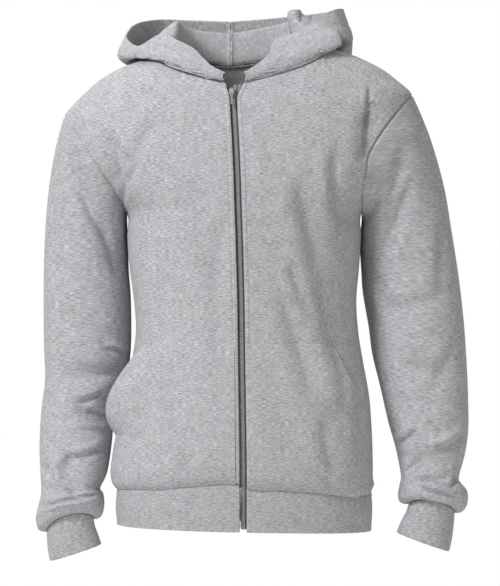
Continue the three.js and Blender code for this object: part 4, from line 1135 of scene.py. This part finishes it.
def heatherGroup():
    # outputs how light the yarn is at a place, and the knit's relief
    tree = bpy.data.node_groups.new("heatherKnit", "ShaderNodeTree")
    for name, kind, way in (("Yarn", "NodeSocketFloat", "OUTPUT"), ("Normal", "NodeSocketVector", "OUTPUT"),
                            ("Relief", "NodeSocketFloat", "INPUT")):
        tree.interface.new_socket(name, in_out=way, socket_type=kind)
    g = Graph(tree)
    given = tree.nodes.new("NodeGroupInput")
    at = g.node("ShaderNodeUVMap", {"uv_map": "cloth"}).outputs[0]
    k = knit
    fleck = (1 / k["fleckLong"], 1 / k["fleckHigh"], 1)
    pale = g.ranged(g.noise(at, fleck), 0.40, 0.66)
    deep = g.ranged(g.noise(at, (fleck[0] * 0.7, fleck[1] * 0.9, 1), 2.0, (7.3, 3.1, 0)), 0.56, 0.70)
    cloud = g.noise(at, (1 / k["mottle"], 1.6 / k["mottle"], 1), 2.0, (1.7, 9.2, 0))
    yarn = g.math("MULTIPLY_ADD", pale, 0.56, 0.25)
    yarn = g.math("MULTIPLY_ADD", deep, -0.46, yarn)
    yarn = g.math("ADD", yarn, g.math("MULTIPLY_ADD", cloud, 0.4, -0.2))
    # one knitted loop leans both ways from the middle of its wale
    split = g.node("ShaderNodeSeparateXYZ", Vector=at).outputs
    lean = g.math("ABSOLUTE", g.math("SUBTRACT", g.math("FRACT", g.math("DIVIDE", split[0], k["wale"])), 0.5))
    rise = g.math("ADD", g.math("DIVIDE", split[1], k["course"]), g.math("MULTIPLY", lean, 1.6))
    loop = g.math("SINE", g.math("MULTIPLY", rise, 2 * pi))
    height = g.math("MULTIPLY", g.math("MULTIPLY_ADD", loop, 0.5, 0.5), g.math("SUBTRACT", 1.1, lean))
    fuzz = g.noise(at, (1 / 0.0016, 1 / 0.0011, 1), 3.0, (4.4, 2.2, 0))
    height = g.math("ADD", height, g.math("MULTIPLY", fuzz, 2.2))
    bump = g.node("ShaderNodeBump", Height=height, Distance=k["yarnHeight"])
    tree.links.new(given.outputs["Relief"], bump.inputs["Strength"])
    end = tree.nodes.new("NodeGroupOutput")
    tree.links.new(g.math("MINIMUM", g.math("MAXIMUM", yarn, 0.0), 1.0), end.inputs["Yarn"])
    tree.links.new(bump.outputs[0], end.inputs["Normal"])
    return tree


def clothMaterial(name, group, relief):
    look = looks[name]
    material = bpy.data.materials.new(name)
    material.use_nodes = True
    g = Graph(material.node_tree)
    shader = material.node_tree.nodes["Principled BSDF"]
    heather = g.node("ShaderNodeGroup", {"node_tree": group}, Relief=relief)
    colour = g.node("ShaderNodeMix", {"data_type": "RGBA"}, i0=heather.outputs["Yarn"], i6=(*look["dark"], 1),
                    i7=(*look["light"], 1))
    material.node_tree.links.new(colour.outputs[2], shader.inputs["Base Color"])
    material.node_tree.links.new(heather.outputs["Normal"], shader.inputs["Normal"])
    shader.inputs["Roughness"].default_value = look["rough"]
    shader.inputs["Sheen Weight"].default_value = look["sheen"]
    shader.inputs["Sheen Roughness"].default_value = 0.5
    shader.inputs["Specular IOR Level"].default_value = 0.2
    return material


def plainMaterial(name, metallic, rough):
    material = bpy.data.materials.new(name)
    material.use_nodes = True
    shader = material.node_tree.nodes["Principled BSDF"]
    shader.inputs["Base Color"].default_value = (*looks[name], 1)
    shader.inputs["Metallic"].default_value = metallic
    shader.inputs["Roughness"].default_value = rough
    return material


# Studio

studio = {
    "floorZ": -0.95,
    "floorReach": 1.7,
    "fadeFrom": 0.5,
    "fadeTo": 1.6,
    "around": 0.30,
    "key": {"at": (-2.1, -2.2, 1.9), "size": 1.2, "watts": 118},
    "fill": {"at": (2.2, -3.0, 0.4), "size": 2.2, "watts": 17},
    "top": {"at": (0.0, 0.2, 2.2), "size": 2.4, "watts": 18},
    "back": {"at": (-1.2, 2.9, 1.2), "size": 2.0, "watts": 46},
    "aim": (0.0, 0.0, -0.33),
    "camera": (0.0112, -4.0, -0.3262),
    "field": 0.8204,
}


def buildStudio():
    from mathutils import Vector
    turn = np.linspace(0, 2 * pi, 97)[:-1]
    reach = studio["floorReach"]
    rim = np.stack([np.cos(turn) * reach, np.sin(turn) * reach, 0 * turn + studio["floorZ"]], -1) / mm
    middle = np.array([[0, 0, studio["floorZ"] / mm]])
    count = len(rim)
    faces = np.stack([np.arange(count), (np.arange(count) + 1) % count, np.full(count, count)], -1)
    floor = meshPiece("studioFloor", np.concatenate([rim, middle]), faces)
    material = bpy.data.materials.new("paper")
    material.use_nodes = True
    g = Graph(material.node_tree)
    shader = material.node_tree.nodes["Principled BSDF"]
    shader.inputs["Base Color"].default_value = (0.86, 0.86, 0.86, 1)
    shader.inputs["Roughness"].default_value = 0.9
    at = g.node("ShaderNodeTexCoord").outputs["Object"]
    split = g.node("ShaderNodeSeparateXYZ", Vector=at).outputs
    far = g.math("SQRT", g.math("ADD", g.math("POWER", g.math("ABSOLUTE", split[0]), 2.0),
                                g.math("POWER", g.math("ABSOLUTE", split[1]), 2.0)))
    glow = g.node("ShaderNodeEmission", Color=(1, 1, 1, 1), Strength=1.0).outputs[0]
    fade = g.ranged(far, studio["fadeFrom"], studio["fadeTo"])
    end = g.node("ShaderNodeMixShader", i0=fade, i1=shader.outputs[0], i2=glow).outputs[0]
    material.node_tree.links.new(end, material.node_tree.nodes["Material Output"].inputs[0])
    floor.data.materials.append(material)
    for name in ("key", "fill", "top", "back"):
        lamp = studio[name]
        light = bpy.data.lights.new(name, "AREA")
        light.shape = "DISK"
        light.size = lamp["size"]
        light.energy = lamp["watts"]
        made = bpy.data.objects.new(name, light)
        made.location = lamp["at"]
        made.rotation_euler = (Vector(studio["aim"]) - Vector(lamp["at"])).to_track_quat("-Z", "Y").to_euler()
        bpy.context.scene.collection.objects.link(made)
    world = bpy.data.worlds.new("studio")
    world.use_nodes = True
    bpy.context.scene.world = world
    g = Graph(world.node_tree)
    background = world.node_tree.nodes["Background"]
    seen = g.node("ShaderNodeLightPath").outputs["Is Camera Ray"]
    strength = g.math("MULTIPLY_ADD", seen, 1 - studio["around"], studio["around"])
    background.inputs[0].default_value = (1, 1, 1, 1)
    world.node_tree.links.new(strength, background.inputs[1])
    camera = bpy.data.cameras.new("camera")
    camera.sensor_fit = "VERTICAL"
    camera.sensor_height = 36
    camera.lens = 36 * -studio["camera"][1] / studio["field"]
    seat = bpy.data.objects.new("camera", camera)
    seat.location = studio["camera"]
    seat.rotation_euler = (pi / 2, 0, 0)
    bpy.context.scene.collection.objects.link(seat)
    bpy.context.scene.camera = seat
    bpy.context.scene.view_settings.view_transform = "Standard"


# Every piece: what it stands for, its finish, how it hangs and what was cut for what shows of it

print("cloth")
knitGroup = heatherGroup()
fleece = clothMaterial("fleece", knitGroup, 0.5)
rib = clothMaterial("rib", knitGroup, 0.5)
tape = clothMaterial("tape", knitGroup, 0.6)
thread = clothMaterial("thread", knitGroup, 0.2)
# the teeth's near-black colour is painted shade standing for the shadow between the front edges
teeth = plainMaterial("teeth", 0.0, 0.45)
metal = plainMaterial("metal", 1.0, 0.22)

garment = []
for side in ("right", "left"):
    garment.append((frontCloth(side), "front_" + side, fleece, "fleece", (0.27, 0.68), 0.145, "hung"))
    garment.append((sleeveCloth(side), "sleeve_" + side, fleece, "fleece", (0.42, 0.61), 0.198, "hung"))
    garment.append((cuffCloth(side), "cuff_" + side, rib, "rib", (0.21, 0.055), None, "stretched"))
    garment.append((pocketPiece(side), "pocket_" + side, fleece, "fleece", (0.20, 0.23), 0.037, "laid"))
    garment.append((hoodHalf(side), "hood_" + side, fleece, "fleece", (0.31, 0.40), 0.105, "draped"))
    shown = 0.021 if side == "left" else 0.012
    garment.append((tapePiece(side), "zip_tape_" + side, tape, "tape", (shown, 0.61), None, "hung"))
garment.append((backCloth(), "back", fleece, "fleece", (0.54, 0.71), 0.312, "hung"))
garment.append((hemBandCloth(), "hem_band", rib, "rib", (1.0, 0.055), None, "stretched"))
for piece, node, material, slot, flat, area, held in garment:
    piece.data.materials.append(material)
    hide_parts(node)
    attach(piece, "garment")

print("sewing and zip")

zipTeeth = teethPiece(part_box("zip_chain")[1][2] / mm)
zipTeeth.data.materials.append(teeth)
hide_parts("zip_chain")
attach(zipTeeth, "garment")
stitches = threads("stitches", *(np.concatenate([s[k] for s in seams]) for k in range(3)), sewing["radius"])
stitches.data.materials.append(thread)
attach(stitches, "garment")
for name in ("zip_slider", "zip_pull"):
    for slot in bpy.data.objects[name].material_slots:
        slot.material = metal

print("studio")
buildStudio()
